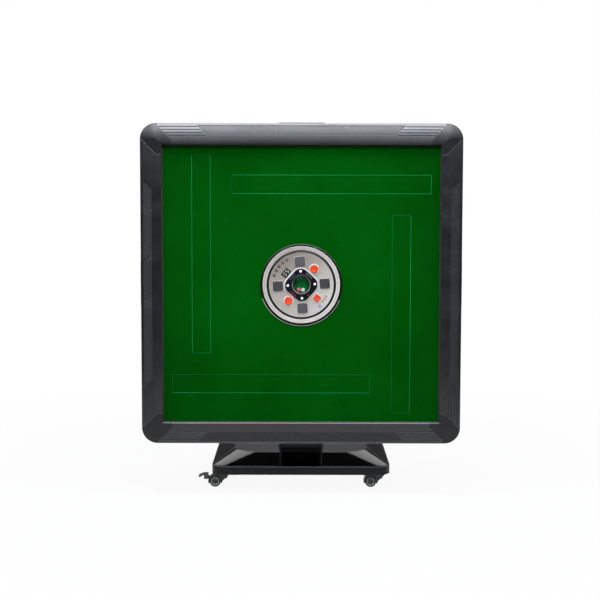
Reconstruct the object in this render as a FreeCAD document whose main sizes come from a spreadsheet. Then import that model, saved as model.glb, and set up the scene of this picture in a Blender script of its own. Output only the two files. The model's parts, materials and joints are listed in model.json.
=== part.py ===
import FreeCAD, Part
import math
import os
import Sketcher

# Folding automatic mahjong table with drawers, standing folded: the tabletop is upright and
# faces -Y. World frame: +X to the right, +Y to the rear, +Z up, millimetres, with the origin
# on the floor under the middle of the folded table.
# Table pieces are drawn lying flat, with X to the right, Y towards the far rail, Z up out of
# the playing surface and Z = 0 on the felt, and are then stood up by their Placement.

SIZES = {
    # folded stance
    "depth_folded": 600, "play_height": 770, "frame_clear": 162,
    # rail frame
    "frame_side": 970, "frame_corner": 48, "rail_width": 64, "rail_crown": 14,
    "rail_crown_at": 61, "rail_outer_drop": 12, "rail_inner_drop": 0.8,
    "cap_start": 50, "cap_land": 7, "cap_slant": 43, "cap_seam": 0.6,
    "inlay_start": 172, "inlay_near": 7, "inlay_far": 35, "inlay_recess": 1.2,
    "inlay_thick": 1.8, "fin_count": 4, "fin_first": 10.6, "fin_pitch": 8.9,
    "fin_wide": 2, "fin_deep": 1.4, "fin_gap": 3,
    # playing surface
    "felt_thick": 2, "board_thick": 14, "board_gap": 0.3,
    "lift_long": 597, "lift_wide": 53, "lift_from_middle": 276, "lift_offset": 91,
    "lift_thick": 12, "lift_gap": 0.5,
    "lift_leg_wide": 60, "lift_leg_thick": 8, "lift_leg_bottom": 80, "guide_gap": 0.3,
    # box under the playing surface
    "shell_inset": 20, "shell_corner": 28, "shell_wall": 4, "shell_flange": 4,
    "flange_reach": 80, "box_depth": 172, "cover_thick": 4,
    "bar_wide": 40, "bar_top": 140, "bar_bottom": 170, "ring_bar": 30, "grid_bar_at": 110,
    "post_side": 25, "post_inset": 8,
    # drawers
    "drawer_wide": 300, "drawer_long": 128, "drawer_top": 24, "drawer_bottom": 66.6,
    "drawer_wall": 3, "drawer_front": 5, "drawer_gap": 0.4, "front_wide": 312,
    "front_bottom": 71, "lip_wide": 137, "lip_thick": 3.5, "lip_top": 18.5, "lip_proud": 3,
    "runner_thick": 6, "runner_ledge": 14, "runner_ledge_thick": 3,
    # lifts, drum and drive
    "lift_motor_long": 90, "lift_motor_wide": 40, "lift_motor_top": 70,
    "guide_outer": 50, "guide_top": 100, "guide_shoulder": 56, "shoulder_top": 112,
    "shoulder_thick": 8, "centre_plate_thick": 6,
    "drum_radius": 262, "drum_wall": 4, "drum_floor_top": 102, "drum_top": 64,
    "drum_hub": 64, "drum_hub_top": 75,
    "wheel_radius": 24.7, "wheel_top": 88, "wheel_bottom": 104, "drive_gap": 0.3,
    "motor_radius": 28, "motor_top": 114, "motor_shaft": 5,
    # electrics
    "supply_long": 160, "supply_wide": 90, "supply_high": 42,
    "circuit_long": 200, "circuit_wide": 150, "circuit_thick": 1.6, "standoff_high": 6,
    "inlet_y": -220, "inlet_long": 90, "inlet_high": 30, "inlet_deep": 28, "inlet_z": -125,
    "inlet_lip": 3, "socket_long": 26, "socket_high": 19.5,
    "rocker_long": 20, "rocker_wide": 13, "rocker_thick": 7, "rocker_gap": 0.6,
    # console in the middle of the playing surface
    "console_turn": 3.2, "collar_wide": 20, "collar_flange": 3, "well_radius": 104,
    "well_wall": 6, "collar_depth": 40, "console_gap": 0.4, "console_rim_top": 4,
    "console_base": 14, "panel_radius": 98, "panel_top": 5, "panel_thick": 3,
    "stem_radius": 42, "stem_bottom": 150, "stem_wall": 6, "stem_clear": 0.05,
    "dice_well": 24, "dice_floor": 20, "dice_floor_thick": 6,
    "dice_plate_radius": 23.4, "dice_plate_thick": 3, "dice_shaft": 3, "dice_shaft_long": 18,
    "bezel_half": 49, "bezel_corner": 25, "bezel_thick": 3.5, "dome_radius": 30,
    "dome_high": 8, "dome_wall": 1.6, "dome_ledge": 26, "dome_gap": 0.3,
    "seat_button": 29, "seat_button_at": 71, "seat_corner": 3, "button_high": 2.6,
    "button_gap": 0.3, "button_root": 2, "button_space": 2,
    "dice_button": 12, "dice_button_at": 62, "dice_button_angle": 48,
    "start_button": 18.7, "start_button_at": 61.7, "start_button_angle": -43,
    # hinge between table and column
    "hinge_stand": 46.5, "cheek_inner": 42, "cheek_thick": 10, "cheek_radius": 26, "cheek_foot": 90,
    "clamp_radius": 67, "clamp_at": 55, "clamp_bolt": 5, "clamp_gap": 0.3,
    "plate_wide": 260, "plate_long": 200, "plate_thick": 8, "plate_gap": 0.5,
    "pin_radius": 12, "pin_clear": 0.05, "pin_head": 17, "pin_head_thick": 5,
    "head_half": 40, "head_radius": 28, "head_foot": 26, "head_back": 60,
    "knob_radius": 20, "knob_thick": 22, "knob_lobe": 5.5, "knob_lobes": 6, "bolt_reach": 30,
    # column
    "column_wide": 140, "column_deep": 140, "column_front": -50, "column_top": 455,
    "column_wall": 4, "column_round": 10, "foot_wide": 220, "foot_deep": 220,
    "foot_thick": 8, "bolt_at": 95, "bolt_radius": 5, "bolt_head": 9, "bolt_head_high": 7,
    "bolt_gap": 0.3,
    # base
    "base_wide": 560, "base_deep": 500, "skirt_bottom": 45, "skirt_top": 65,
    "skirt_wall": 5, "skirt_corner": 45, "shoulder_inset": 3, "cover_bottom": 68,
    "cover_lip": 3, "plateau_side": 65, "plateau_front": 85, "plateau_top": 101,
    "plateau_corner": 90,
    "base_wall": 4, "frame_bar": 40, "frame_bottom": 46, "frame_top": 70,
    "frame_gap": 0.3, "middle_bar_at": 90, "middle_plate": 8,
    # casters
    "caster_x": 245, "caster_y": 205, "caster_plate": 80, "caster_plate_thick": 2.5,
    "tyre_radius": 17.5, "trail": 25, "tyre_inner": 4.5, "tyre_outer": 14.5, "tyre_edge": 1.5,
    "hub_radius": 5, "hub_proud": 0.5, "face_recess": 1, "axle_radius": 3, "hood_outer": 22,
    "hood_inner": 18.5, "hood_half": 15.5, "web_half": 3.6, "hood_lowest": 12,
    "boss_radius": 13, "boss_bottom": 26, "neck_reach": 23, "swivel_radius": 5.45,
    "swivel_top": 62, "swivel_bore": 5.5, "caster_gap": 0.3,
    "lug_long": 18, "lug_half": 5, "lug_bottom": 23, "lug_top": 33.5, "lever_at": 52,
    "lever_height": 29, "lever_pin": 2, "ear_thick": 3, "ear_long": 10, "pedal_long": 30,
    "pedal_bottom": 36, "pedal_thick": 6, "pedal_half": 9, "pedal_bend": 15, "pedal_dip": 7,
    "pedal_nose": 2,
    "over": 1,
}


class Size:
    """A length held both as an expression of the sheet and as a number."""

    def __init__(self, text, number):
        self.text = text
        self.number = float(number)

    def __float__(self):
        return self.number

    def join(self, sign, other, number):
        return Size(f"({self.text} {sign} {as_size(other).text})", number)

    def __add__(self, other):
        return self.join("+", other, self.number + float(other))

    def __sub__(self, other):
        return self.join("-", other, self.number - float(other))

    def __mul__(self, other):
        return self.join("*", other, self.number * float(other))

    def __truediv__(self, other):
        return self.join("/", other, self.number / float(other))

    def __radd__(self, other):
        return as_size(other) + self

    def __rsub__(self, other):
        return as_size(other) - self

    def __rmul__(self, other):
        return as_size(other) * self

    def __neg__(self):
        return Size(f"(0 - {self.text})", -self.number)


def as_size(length):
    return length if isinstance(length, Size) else Size(repr(length), length)


def arc_radius(reach, drop):
    """Radius of an arc that falls by a drop over a reach from its highest point."""
    return (reach * reach + drop * drop) / (2 * drop)


class Sheet:
    """The driving dimensions, each one an attribute named as its alias."""

    def __init__(self, doc, sizes):
        cells = doc.addObject("Spreadsheet::Sheet", "sizes")
        for row, (name, number) in enumerate(sizes.items(), start=1):
            cells.set(f"A{row}", name)
            cells.set(f"B{row}", str(number))
            cells.setAlias(f"B{row}", name)
            setattr(self, name, Size(f"sizes.{name}", number))


os.makedirs("parts", exist_ok=True)
doc = FreeCAD.newDocument("mahjong_table")
s = Sheet(doc, SIZES)
doc.recompute()
nodes = {}

# ---- places that follow from the driving dimensions ----
table_y = s.rail_crown - s.depth_folded / 2
table_z = s.frame_clear + s.frame_side / 2
base_y = s.depth_folded / 2 - s.base_deep / 2
pivot_y = table_y + s.box_depth + s.cover_thick + s.hinge_stand
pivot_z = s.play_height - s.depth_folded / 2 - pivot_y
pivot_table_y = pivot_z - table_z
pivot_table_z = table_y - pivot_y
half_frame = s.frame_side / 2
opening_half = half_frame - s.rail_width
collar_radius = s.well_radius + s.collar_wide
outer_arc = arc_radius(s.rail_crown_at, s.rail_outer_drop)
inner_arc = arc_radius(s.rail_width - s.rail_crown_at, s.rail_inner_drop)
shell_half = half_frame - s.shell_inset
shell_inner = shell_half - s.shell_wall
flange_half = half_frame - s.flange_reach
board_bottom = -(s.felt_thick + s.board_thick)
flange_bottom = board_bottom - s.shell_flange
lift_middle = s.lift_from_middle + s.lift_wide / 2
drive_at = (s.drum_radius + s.drive_gap + s.wheel_radius) * math.sqrt(0.5)
console_radius = s.well_radius - s.console_gap
column_y = s.column_front + s.column_deep / 2
foot_bottom = s.frame_top + s.middle_plate
knob_z = pivot_z - s.clamp_at

AXES = {
    "x": FreeCAD.Rotation(FreeCAD.Vector(0, 1, 0), 90),
    "y": FreeCAD.Rotation(FreeCAD.Vector(1, 0, 0), -90),
    "z": FreeCAD.Rotation(),
}
STAND_UP = FreeCAD.Rotation(FreeCAD.Vector(1, 0, 0), 90)
SIDES = ("top", "left", "bottom", "right")


def quarter(turns):
    """Turns about the table's own Z, a quarter at a time."""
    return FreeCAD.Rotation(FreeCAD.Vector(0, 0, 1), 90 * turns)


# ---- helpers: primitives, booleans and placing ----
def bind(thing, prop, length):
    thing.setExpression(prop, as_size(length).text)


def place(thing, at, turn=None):
    if turn is not None:
        thing.Placement = FreeCAD.Placement(FreeCAD.Vector(), turn)
    for axis, length in zip("xyz", at):
        bind(thing, f"Placement.Base.{axis}", length)
    return thing


def block(name, x, y, z):
    """A box between a low and a high value on each axis."""
    shape = doc.addObject("Part::Box", name)
    for prop, (low, high) in zip(("Length", "Width", "Height"), (x, y, z)):
        bind(shape, prop, high - low)
    return place(shape, (x[0], y[0], z[0]))


def centred(name, wide, long, z, at=(0, 0)):
    """A box centred on a point of the XY plane."""
    x = (at[0] - wide / 2, at[0] + wide / 2)
    y = (at[1] - long / 2, at[1] + long / 2)
    return block(name, x, y, z)


def rod(name, radius, start, length, axis="z"):
    """A round bar that starts at a point and runs along one axis."""
    shape = doc.addObject("Part::Cylinder", name)
    bind(shape, "Radius", radius)
    bind(shape, "Height", length)
    return place(shape, start, AXES[axis])


def cut(name, base, tools):
    shape = doc.addObject("Part::Cut", name)
    shape.Base = base
    shape.Tool = tools[0] if len(tools) == 1 else fuse(name + "_tools", tools)
    return shape


def fuse(name, shapes):
    shape = doc.addObject("Part::MultiFuse", name)
    shape.Shapes = shapes
    shape.Refine = True
    return shape


def common(name, shapes):
    shape = doc.addObject("Part::MultiCommon", name)
    shape.Shapes = shapes
    return shape


def group(name, shapes):
    """Several separate solids kept as one node."""
    shape = doc.addObject("Part::Compound", name)
    shape.Links = shapes
    return shape


def tube(name, inner, outer, start, length, axis="z"):
    """A round pipe along one axis."""
    along = "xyz".index(axis)
    early = list(start)
    early[along] = early[along] - s.over
    bore = rod(name + "_bore", inner, early, length + 2 * s.over, axis)
    return cut(name, rod(name + "_solid", outer, start, length, axis), [bore])


def keep(node, shape, at=(0, 0, 0), turn=None):
    """Name a finished sub-part after its node and set its Placement."""
    shape.Label = node
    nodes[node] = place(shape, at, turn)
    return shape


def on_table(node, shape, turn=FreeCAD.Rotation()):
    """Stand a flat-drawn table piece up in its place in the folded table."""
    return keep(node, shape, (0, table_y, table_z), STAND_UP * turn)


# ---- helpers: bodies and their sketches ----
def new_body(name):
    return doc.addObject("PartDesign::Body", name)


def new_sketch(body, name, role, offset=0):
    """A sketch on one of the body's own origin planes, moved along that plane's normal."""
    sketch = body.newObject("Sketcher::SketchObject", name)
    plane = [feature for feature in body.Origin.OriginFeatures if feature.Role == role][0]
    sketch.AttachmentSupport = [(plane, "")]
    sketch.MapMode = "FlatFace"
    bind(sketch, "AttachmentOffset.Base.z", offset)
    return sketch


def fix_point(sketch, geometry, vertex, x, y):
    for kind, length in (("DistanceX", x), ("DistanceY", y)):
        constraint = Sketcher.Constraint(kind, -1, 1, geometry, vertex, float(length))
        index = sketch.addConstraint(constraint)
        bind(sketch, f"Constraints[{index}]", length)


def polygon(sketch, points):
    """A closed outline of straight lines through points given by their sizes."""
    corners = [FreeCAD.Vector(float(x), float(y), 0) for x, y in points]
    first = sketch.GeometryCount
    for corner, following in zip(corners, corners[1:] + corners[:1]):
        sketch.addGeometry(Part.LineSegment(corner, following), False)
    for number, (x, y) in enumerate(points):
        following = (number + 1) % len(points)
        ends = Sketcher.Constraint("Coincident", first + number, 2, first + following, 1)
        sketch.addConstraint(ends)
        fix_point(sketch, first + number, 1, x, y)
    return sketch


def circle(sketch, radius, x=0, y=0):
    centre = FreeCAD.Vector(float(x), float(y), 0)
    index = sketch.addGeometry(Part.Circle(centre, FreeCAD.Vector(0, 0, 1), float(radius)), False)
    fix_point(sketch, index, 3, x, y)
    number = sketch.addConstraint(Sketcher.Constraint("Radius", index, float(radius)))
    bind(sketch, f"Constraints[{number}]", radius)
    return sketch


def rounded_rectangle(sketch, wide, long, radius, y_middle=0):
    """A rectangle with round corners: four arcs joined by four tangent lines."""
    half_x = wide / 2 - radius
    half_y = long / 2 - radius
    reach = float(radius)
    arcs = []
    for number, (sign_x, sign_y) in enumerate(((1, 1), (-1, 1), (-1, -1), (1, -1))):
        centre = FreeCAD.Vector(sign_x * float(half_x), float(y_middle) + sign_y * float(half_y), 0)
        ring = Part.Circle(centre, FreeCAD.Vector(0, 0, 1), reach)
        start = number * math.pi / 2
        arcs.append((Part.ArcOfCircle(ring, start, start + math.pi / 2), sign_x, sign_y))
    indices = [sketch.addGeometry(arc, False) for arc, _, _ in arcs]
    lines = []
    for number, (arc, _, _) in enumerate(arcs):
        following = arcs[(number + 1) % 4][0]
        line = Part.LineSegment(arc.EndPoint, following.StartPoint)
        lines.append(sketch.addGeometry(line, False))
    for number, index in enumerate(indices):
        _, sign_x, sign_y = arcs[number]
        fix_point(sketch, index, 3, sign_x * half_x, y_middle + sign_y * half_y)
        size = sketch.addConstraint(Sketcher.Constraint("Radius", index, reach))
        bind(sketch, f"Constraints[{size}]", radius)
        following = indices[(number + 1) % 4]
        sketch.addConstraint(Sketcher.Constraint("Tangent", index, 2, lines[number], 1))
        sketch.addConstraint(Sketcher.Constraint("Tangent", lines[number], 2, following, 1))
    return sketch


def pad(body, name, sketch, length):
    feature = body.newObject("PartDesign::Pad", name)
    feature.Profile = sketch
    bind(feature, "Length", length)
    return feature


def pocket(body, name, sketch, length, reverse=False):
    feature = body.newObject("PartDesign::Pocket", name)
    feature.Profile = sketch
    feature.Reversed = reverse
    bind(feature, "Length", length)
    return feature


def revolve(body, name, sketch, axis="V_Axis"):
    feature = body.newObject("PartDesign::Revolution", name)
    feature.Profile = sketch
    feature.ReferenceAxis = (sketch, [axis])
    feature.Angle = 360
    return feature


def loft(body, name, kind, sketches):
    feature = body.newObject(f"PartDesign::{kind}Loft", name)
    feature.Profile = sketches[0]
    feature.Sections = sketches[1:]
    feature.Ruled = True
    return feature


def cut_box(body, name, x, y, z):
    """A box cut out of a body, between a low and a high value on each axis."""
    feature = body.newObject("PartDesign::SubtractiveBox", name)
    for prop, (low, high) in zip(("Length", "Width", "Height"), (x, y, z)):
        bind(feature, prop, high - low)
    for axis, (low, _) in zip("xyz", (x, y, z)):
        bind(feature, f"Placement.Base.{axis}", low)
    return feature


def rounded_prism(name, wide, long, radius, z, y_middle=0):
    """Upright prism with round corners, as a body of its own."""
    body = new_body(name)
    outline = new_sketch(body, name + "_outline", "XY_Plane", z[0])
    rounded_rectangle(outline, wide, long, radius, y_middle)
    pad(body, name + "_pad", outline, z[1] - z[0])
    return body


# ---- base ----
def make_base_frame():
    """Steel ring of bars, two middle bars, the column's plate and four caster plates."""
    half_x = s.base_wide / 2 - s.skirt_wall - s.frame_gap
    half_y = s.base_deep / 2 - s.skirt_wall - s.frame_gap
    height = (s.frame_bottom, s.frame_top)
    outer = centred("frame_outer", 2 * half_x, 2 * half_y, height, (0, base_y))
    inner_y = half_y - s.frame_bar
    left_x = (-half_x + s.frame_bar, -s.middle_bar_at - s.frame_bar / 2)
    right_x = (-left_x[1], -left_x[0])
    middle_x = (-s.middle_bar_at + s.frame_bar / 2, s.middle_bar_at - s.frame_bar / 2)
    deep = (base_y - inner_y, base_y + inner_y)
    through = (s.frame_bottom - s.over, s.frame_top + s.over)
    gaps = [block(f"frame_gap_{n}", x, deep, through)
            for n, x in enumerate((left_x, middle_x, right_x))]
    ring = cut("frame_ring", outer, gaps)
    plate = centred("frame_plate", s.foot_wide, s.foot_deep, (s.frame_top, foot_bottom),
                    (0, column_y))
    corners = []
    bores = []
    for number, (x, y) in enumerate(caster_places()):
        low = s.frame_bottom - s.caster_plate_thick
        at = (side_of(x) * (half_x - s.caster_plate / 2),
              base_y + side_of(y - base_y) * (half_y - s.caster_plate / 2))
        corners.append(centred(f"caster_plate_{number}", s.caster_plate, s.caster_plate,
                               (low, s.frame_bottom + s.over), at))
        bores.append(rod(f"swivel_bore_{number}", s.swivel_bore, (x, y, low - s.over),
                         s.swivel_top - low + 2 * s.over))
    for number, (x, y) in enumerate(bolt_places()):
        bores.append(rod(f"frame_bolt_bore_{number}", s.bolt_radius + s.bolt_gap,
                         (x, y, s.frame_bottom - s.over), foot_bottom - s.frame_bottom + 2 * s.over))
    bounds = rounded_prism("frame_bounds", 2 * half_x, 2 * half_y, s.skirt_corner - s.skirt_wall,
                           (s.frame_bottom - s.frame_bar, foot_bottom), base_y)
    whole = common("frame_trimmed", [fuse("frame_whole", [ring, plate] + corners), bounds])
    keep("base_frame", cut("base_frame", whole, bores))


def side_of(length):
    return 1 if float(length) > 0 else -1


def caster_places():
    return [(x, base_y + y) for y in (-s.caster_y, s.caster_y) for x in (-s.caster_x, s.caster_x)]


def bolt_places():
    return [(x, column_y + y) for y in (-s.bolt_at, s.bolt_at) for x in (-s.bolt_at, s.bolt_at)]


def make_base_skirt():
    """The upright band round the base, with a set-in shoulder under the cover."""
    body = new_body("base_skirt")
    inner = (s.base_wide - 2 * s.skirt_wall, s.base_deep - 2 * s.skirt_wall)
    inner_corner = s.skirt_corner - s.skirt_wall
    band = new_sketch(body, "skirt_band", "XY_Plane", s.skirt_bottom)
    rounded_rectangle(band, s.base_wide, s.base_deep, s.skirt_corner, base_y)
    rounded_rectangle(band, *inner, inner_corner, base_y)
    pad(body, "skirt_wall_pad", band, s.skirt_top - s.skirt_bottom)
    shoulder = new_sketch(body, "skirt_shoulder", "XY_Plane", s.skirt_top)
    rounded_rectangle(shoulder, s.base_wide - 2 * s.shoulder_inset, s.base_deep - 2 * s.shoulder_inset,
                      s.skirt_corner - s.shoulder_inset, base_y)
    rounded_rectangle(shoulder, *inner, inner_corner, base_y)
    pad(body, "skirt_shoulder_pad", shoulder, s.cover_bottom - s.skirt_top)
    keep("base_skirt", body)


def make_base_cover():
    """Shell that slopes up from the rim to a raised plateau, open below, round the column."""
    body = new_body("base_cover")
    rim_top = s.cover_bottom + s.cover_lip
    levels = []
    for name, shrink in (("outer", 0), ("inner", s.base_wall)):
        wide = s.base_wide - 2 * shrink
        deep = s.base_deep - 2 * shrink
        top_wide = wide - 2 * s.plateau_side
        top_deep = deep - 2 * s.plateau_front
        rim = new_sketch(body, f"{name}_rim", "XY_Plane", rim_top - shrink)
        rounded_rectangle(rim, wide, deep, s.skirt_corner - shrink, base_y)
        top = new_sketch(body, f"{name}_plateau", "XY_Plane", s.plateau_top - shrink)
        rounded_rectangle(top, top_wide, top_deep, s.plateau_corner - shrink, base_y)
        levels.append((rim, top))
    slope = loft(body, "cover_slope", "Additive", levels[0])
    lip = new_sketch(body, "cover_lip_outline", "XY_Plane", s.cover_bottom)
    rounded_rectangle(lip, s.base_wide, s.base_deep, s.skirt_corner, base_y)
    pad(body, "cover_lip_pad", lip, s.cover_lip)
    loft(body, "cover_hollow", "Subtractive", levels[1])
    floor = new_sketch(body, "cover_floor", "XY_Plane", rim_top)
    rounded_rectangle(floor, s.base_wide - 2 * s.base_wall, s.base_deep - 2 * s.base_wall,
                      s.skirt_corner - s.base_wall, base_y)
    pocket(body, "cover_open_floor", floor, s.cover_lip + s.over)
    half_hole = s.column_wide / 2 + s.frame_gap
    cut_box(body, "column_hole", (-half_hole, half_hole),
            (s.column_front - s.frame_gap, s.column_front + s.column_deep + s.frame_gap),
            (s.plateau_top - s.base_wall - s.over, s.plateau_top + s.over))
    keep("base_cover", body)


def make_column():
    """Square steel tube with a foot plate below and a closing plate on top."""
    body = new_body("column")
    outline = new_sketch(body, "column_outline", "XY_Plane", foot_bottom)
    rounded_rectangle(outline, s.column_wide, s.column_deep, s.column_round, column_y)
    pad(body, "column_bar", outline, s.column_top - foot_bottom)
    foot = new_sketch(body, "foot_outline", "XY_Plane", foot_bottom)
    rounded_rectangle(foot, s.foot_wide, s.foot_deep, s.column_round, column_y)
    pad(body, "column_foot", foot, s.foot_thick)
    hollow = new_sketch(body, "column_hollow", "XY_Plane", s.column_top - s.foot_thick)
    rounded_rectangle(hollow, s.column_wide - 2 * s.column_wall, s.column_deep - 2 * s.column_wall,
                      s.column_round - s.column_wall, column_y)
    pocket(body, "column_inside", hollow, s.column_top - foot_bottom)
    holes = new_sketch(body, "foot_holes", "XY_Plane", foot_bottom + s.foot_thick)
    for x, y in bolt_places():
        circle(holes, s.bolt_radius + s.bolt_gap, x, y)
    pocket(body, "foot_bolt_holes", holes, s.foot_thick + s.over)
    keep("column", body)


def make_column_bolts():
    bolts = []
    seat = foot_bottom + s.foot_thick
    for number, (x, y) in enumerate(bolt_places()):
        head = rod(f"bolt_head_{number}", s.bolt_head, (x, y, seat), s.bolt_head_high)
        shank = rod(f"bolt_shank_{number}", s.bolt_radius, (x, y, s.frame_bottom),
                    seat - s.frame_bottom)
        bolts.append(fuse(f"bolt_{number}", [head, shank]))
    keep("column_bolts", group("column_bolts", bolts))


# ---- hinge and its clamp ----
def make_hinge_head():
    """Block on the column that carries the hinge pin and the clamp bolt."""
    front = pivot_y - s.head_radius
    foot = block("head_foot_block", (-s.head_half, s.head_half), (front, s.head_back),
                 (s.column_top, s.column_top + s.head_foot))
    neck = block("head_neck", (-s.head_half, s.head_half), (front, pivot_y + s.head_radius),
                 (s.column_top, pivot_z))
    eye = rod("head_eye", s.head_radius, (-s.head_half, pivot_y, pivot_z), 2 * s.head_half, "x")
    bore = rod("head_bore", s.pin_radius + s.pin_clear, (-s.head_half - s.over, pivot_y, pivot_z),
               2 * s.head_half + 2 * s.over, "x")
    bolt_bore = rod("head_bolt_bore", s.clamp_bolt + s.pin_clear,
                    (s.head_half - s.bolt_reach - s.over, pivot_y, knob_z),
                    s.bolt_reach + 2 * s.over, "x")
    keep("hinge_head", cut("hinge_head", fuse("head_block", [foot, neck, eye]), [bore, bolt_bore]))


def make_hinge_pin():
    cheek_outer = s.cheek_inner + s.cheek_thick
    half = cheek_outer + s.plate_gap + s.pin_head_thick
    shaft = rod("pin_shaft", s.pin_radius, (-half, pivot_y, pivot_z), 2 * half, "x")
    heads = [rod(f"pin_head_{n}", s.pin_head, (start, pivot_y, pivot_z), s.pin_head_thick, "x")
             for n, start in enumerate((-half, cheek_outer + s.plate_gap))]
    keep("hinge_pin", fuse("hinge_pin", [shaft] + heads))


def make_lock_knob():
    """Lobed hand knob on the bolt that clamps the sector plate against the head."""
    face = s.cheek_inner + s.cheek_thick + s.clamp_gap
    bolt_start = s.head_half - s.bolt_reach
    bolt = rod("clamp_bolt", s.clamp_bolt, (bolt_start, pivot_y, knob_z),
               face - bolt_start + s.over, "x")
    disc = rod("knob_disc", s.knob_radius - s.knob_lobe / 2, (face, pivot_y, knob_z),
               s.knob_thick, "x")
    lobes = []
    for number in range(SIZES["knob_lobes"]):
        angle = math.radians(360 * number / SIZES["knob_lobes"])
        reach = s.knob_radius - s.knob_lobe
        at = (face, pivot_y + math.sin(angle) * reach, knob_z + math.cos(angle) * reach)
        lobes.append(rod(f"knob_lobe_{number}", s.knob_lobe, at, s.knob_thick, "x"))
    keep("lock_knob", fuse("lock_knob", [bolt, disc] + lobes))


def make_hinge_bracket():
    """Foot plate on the machine's chassis with two cheeks, one of them the slotted sector."""
    foot_top = -s.bar_bottom
    foot_under = foot_top - s.plate_thick
    plate = centred("bracket_plate", s.plate_wide, s.plate_long, (foot_under, foot_top),
                    (0, pivot_table_y))
    solids = [plate]
    bores = []
    for name, start in (("left", -s.cheek_inner - s.cheek_thick), ("right", s.cheek_inner)):
        across = (start, start + s.cheek_thick)
        eye = rod(f"cheek_eye_{name}", s.cheek_radius, (start, pivot_table_y, pivot_table_z),
                  s.cheek_thick, "x")
        web = block(f"cheek_web_{name}", across,
                    (pivot_table_y - s.cheek_radius, pivot_table_y + s.cheek_radius),
                    (pivot_table_z, foot_top - s.over))
        root_block = block(f"cheek_root_{name}", across,
                           (pivot_table_y - s.cheek_foot / 2, pivot_table_y + s.cheek_foot / 2),
                           (foot_under - s.plate_thick, foot_top - s.over))
        solids += [eye, web, root_block]
        bores.append(rod(f"cheek_bore_{name}", s.pin_radius + s.pin_clear,
                         (start - s.over, pivot_table_y, pivot_table_z),
                         s.cheek_thick + 2 * s.over, "x"))
    sector = rod("clamp_sector", s.clamp_radius, (s.cheek_inner, pivot_table_y, pivot_table_z),
                 s.cheek_thick, "x")
    above = block("sector_trim", (s.cheek_inner - s.over, s.cheek_inner + s.cheek_thick + s.over),
                  (pivot_table_y - 2 * s.clamp_radius, pivot_table_y + 2 * s.clamp_radius),
                  (foot_top - s.over, foot_top + s.clamp_radius))
    solids.append(cut("sector_plate", sector, [above]))
    on_table("hinge_bracket",
             cut("hinge_bracket", fuse("bracket_whole", solids), bores + clamp_slot()))


def clamp_slot():
    """Quarter-circle slot round the pin for the clamp bolt, with round ends."""
    half = s.clamp_bolt + s.clamp_gap
    start = s.cheek_inner - s.over
    length = s.cheek_thick + 2 * s.over
    discs = []
    for name, radius in (("outer", s.clamp_at + half), ("inner", s.clamp_at - half)):
        disc = rod(f"slot_{name}", radius, (start, pivot_table_y, pivot_table_z), length, "x")
        discs.append(disc)
    quadrant = block("slot_quadrant", (start, start + length),
                     (pivot_table_y - s.clamp_radius, pivot_table_y),
                     (pivot_table_z - s.clamp_radius, pivot_table_z))
    arc = common("slot_arc", [cut("slot_ring", discs[0], [discs[1]]), quadrant])
    ends = [rod("slot_end_folded", half, (start, pivot_table_y - s.clamp_at, pivot_table_z),
                length, "x"),
            rod("slot_end_open", half, (start, pivot_table_y, pivot_table_z - s.clamp_at),
                length, "x")]
    return [arc] + ends


# ---- casters ----
def make_caster_hood(node, x, y, braked):
    """Stem, boss and roof over the twin wheels, trailing behind the swivel."""
    wheel_x = -s.trail
    boss_top = s.frame_bottom - s.caster_plate_thick - s.caster_gap
    roof = rod(node + "_roof", s.hood_outer, (wheel_x, -s.hood_half, s.tyre_radius),
               2 * s.hood_half, "y")
    trim = block(node + "_trim", (wheel_x - s.hood_outer - s.over, wheel_x + s.hood_outer + s.over),
                 (-s.hood_half - s.over, s.hood_half + s.over),
                 (s.tyre_radius - s.hood_outer - s.over, s.hood_lowest))
    boss = rod(node + "_boss", s.boss_radius, (0, 0, s.boss_bottom), boss_top - s.boss_bottom)
    neck = sloped_neck(node + "_neck", wheel_x, boss_top - s.caster_gap)
    stem = rod(node + "_stem", s.swivel_radius, (0, 0, s.boss_bottom), s.swivel_top - s.boss_bottom)
    solids = [cut(node + "_arch", roof, [trim]), boss, neck, stem]
    if braked:
        lug_x = (-s.lever_at - s.lug_long / 2, -s.lever_at + s.lug_long / 2)
        solids.append(block(node + "_lug", lug_x,
                            (-s.lug_half, s.lug_half), (s.lug_bottom, s.lug_top)))
    spaces = [rod(f"{node}_space_{n}", s.hood_inner, (wheel_x, start, s.tyre_radius),
                  s.hood_half + s.over - s.web_half, "y")
              for n, start in enumerate((-s.hood_half - s.over, s.web_half))]
    spaces.append(rod(node + "_axle_bore", s.axle_radius + s.pin_clear,
                      (wheel_x, -s.web_half - s.over, s.tyre_radius), 2 * s.web_half + 2 * s.over, "y"))
    if braked:
        spaces.append(rod(node + "_lever_bore", s.lever_pin + s.pin_clear,
                          (-s.lever_at, -s.lug_half - s.over, s.lever_height),
                          2 * s.lug_half + 2 * s.over, "y"))
    keep(node, cut(node, fuse(node + "_whole", solids), spaces), (x, y, 0))


def sloped_neck(name, wheel_x, top):
    """Web from the wheels' centre height up to the swivel, sloped on its far side."""
    shape = doc.addObject("Part::Wedge", name)
    sizes = {"Xmin": wheel_x, "Xmax": wheel_x + s.hood_outer, "X2min": wheel_x,
             "X2max": s.neck_reach, "Ymin": s.tyre_radius, "Ymax": top,
             "Zmin": -s.boss_radius, "Zmax": s.boss_radius,
             "Z2min": -s.boss_radius, "Z2max": s.boss_radius}
    for prop, length in sizes.items():
        bind(shape, prop, length)
    return place(shape, (0, 0, 0), STAND_UP)


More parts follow.
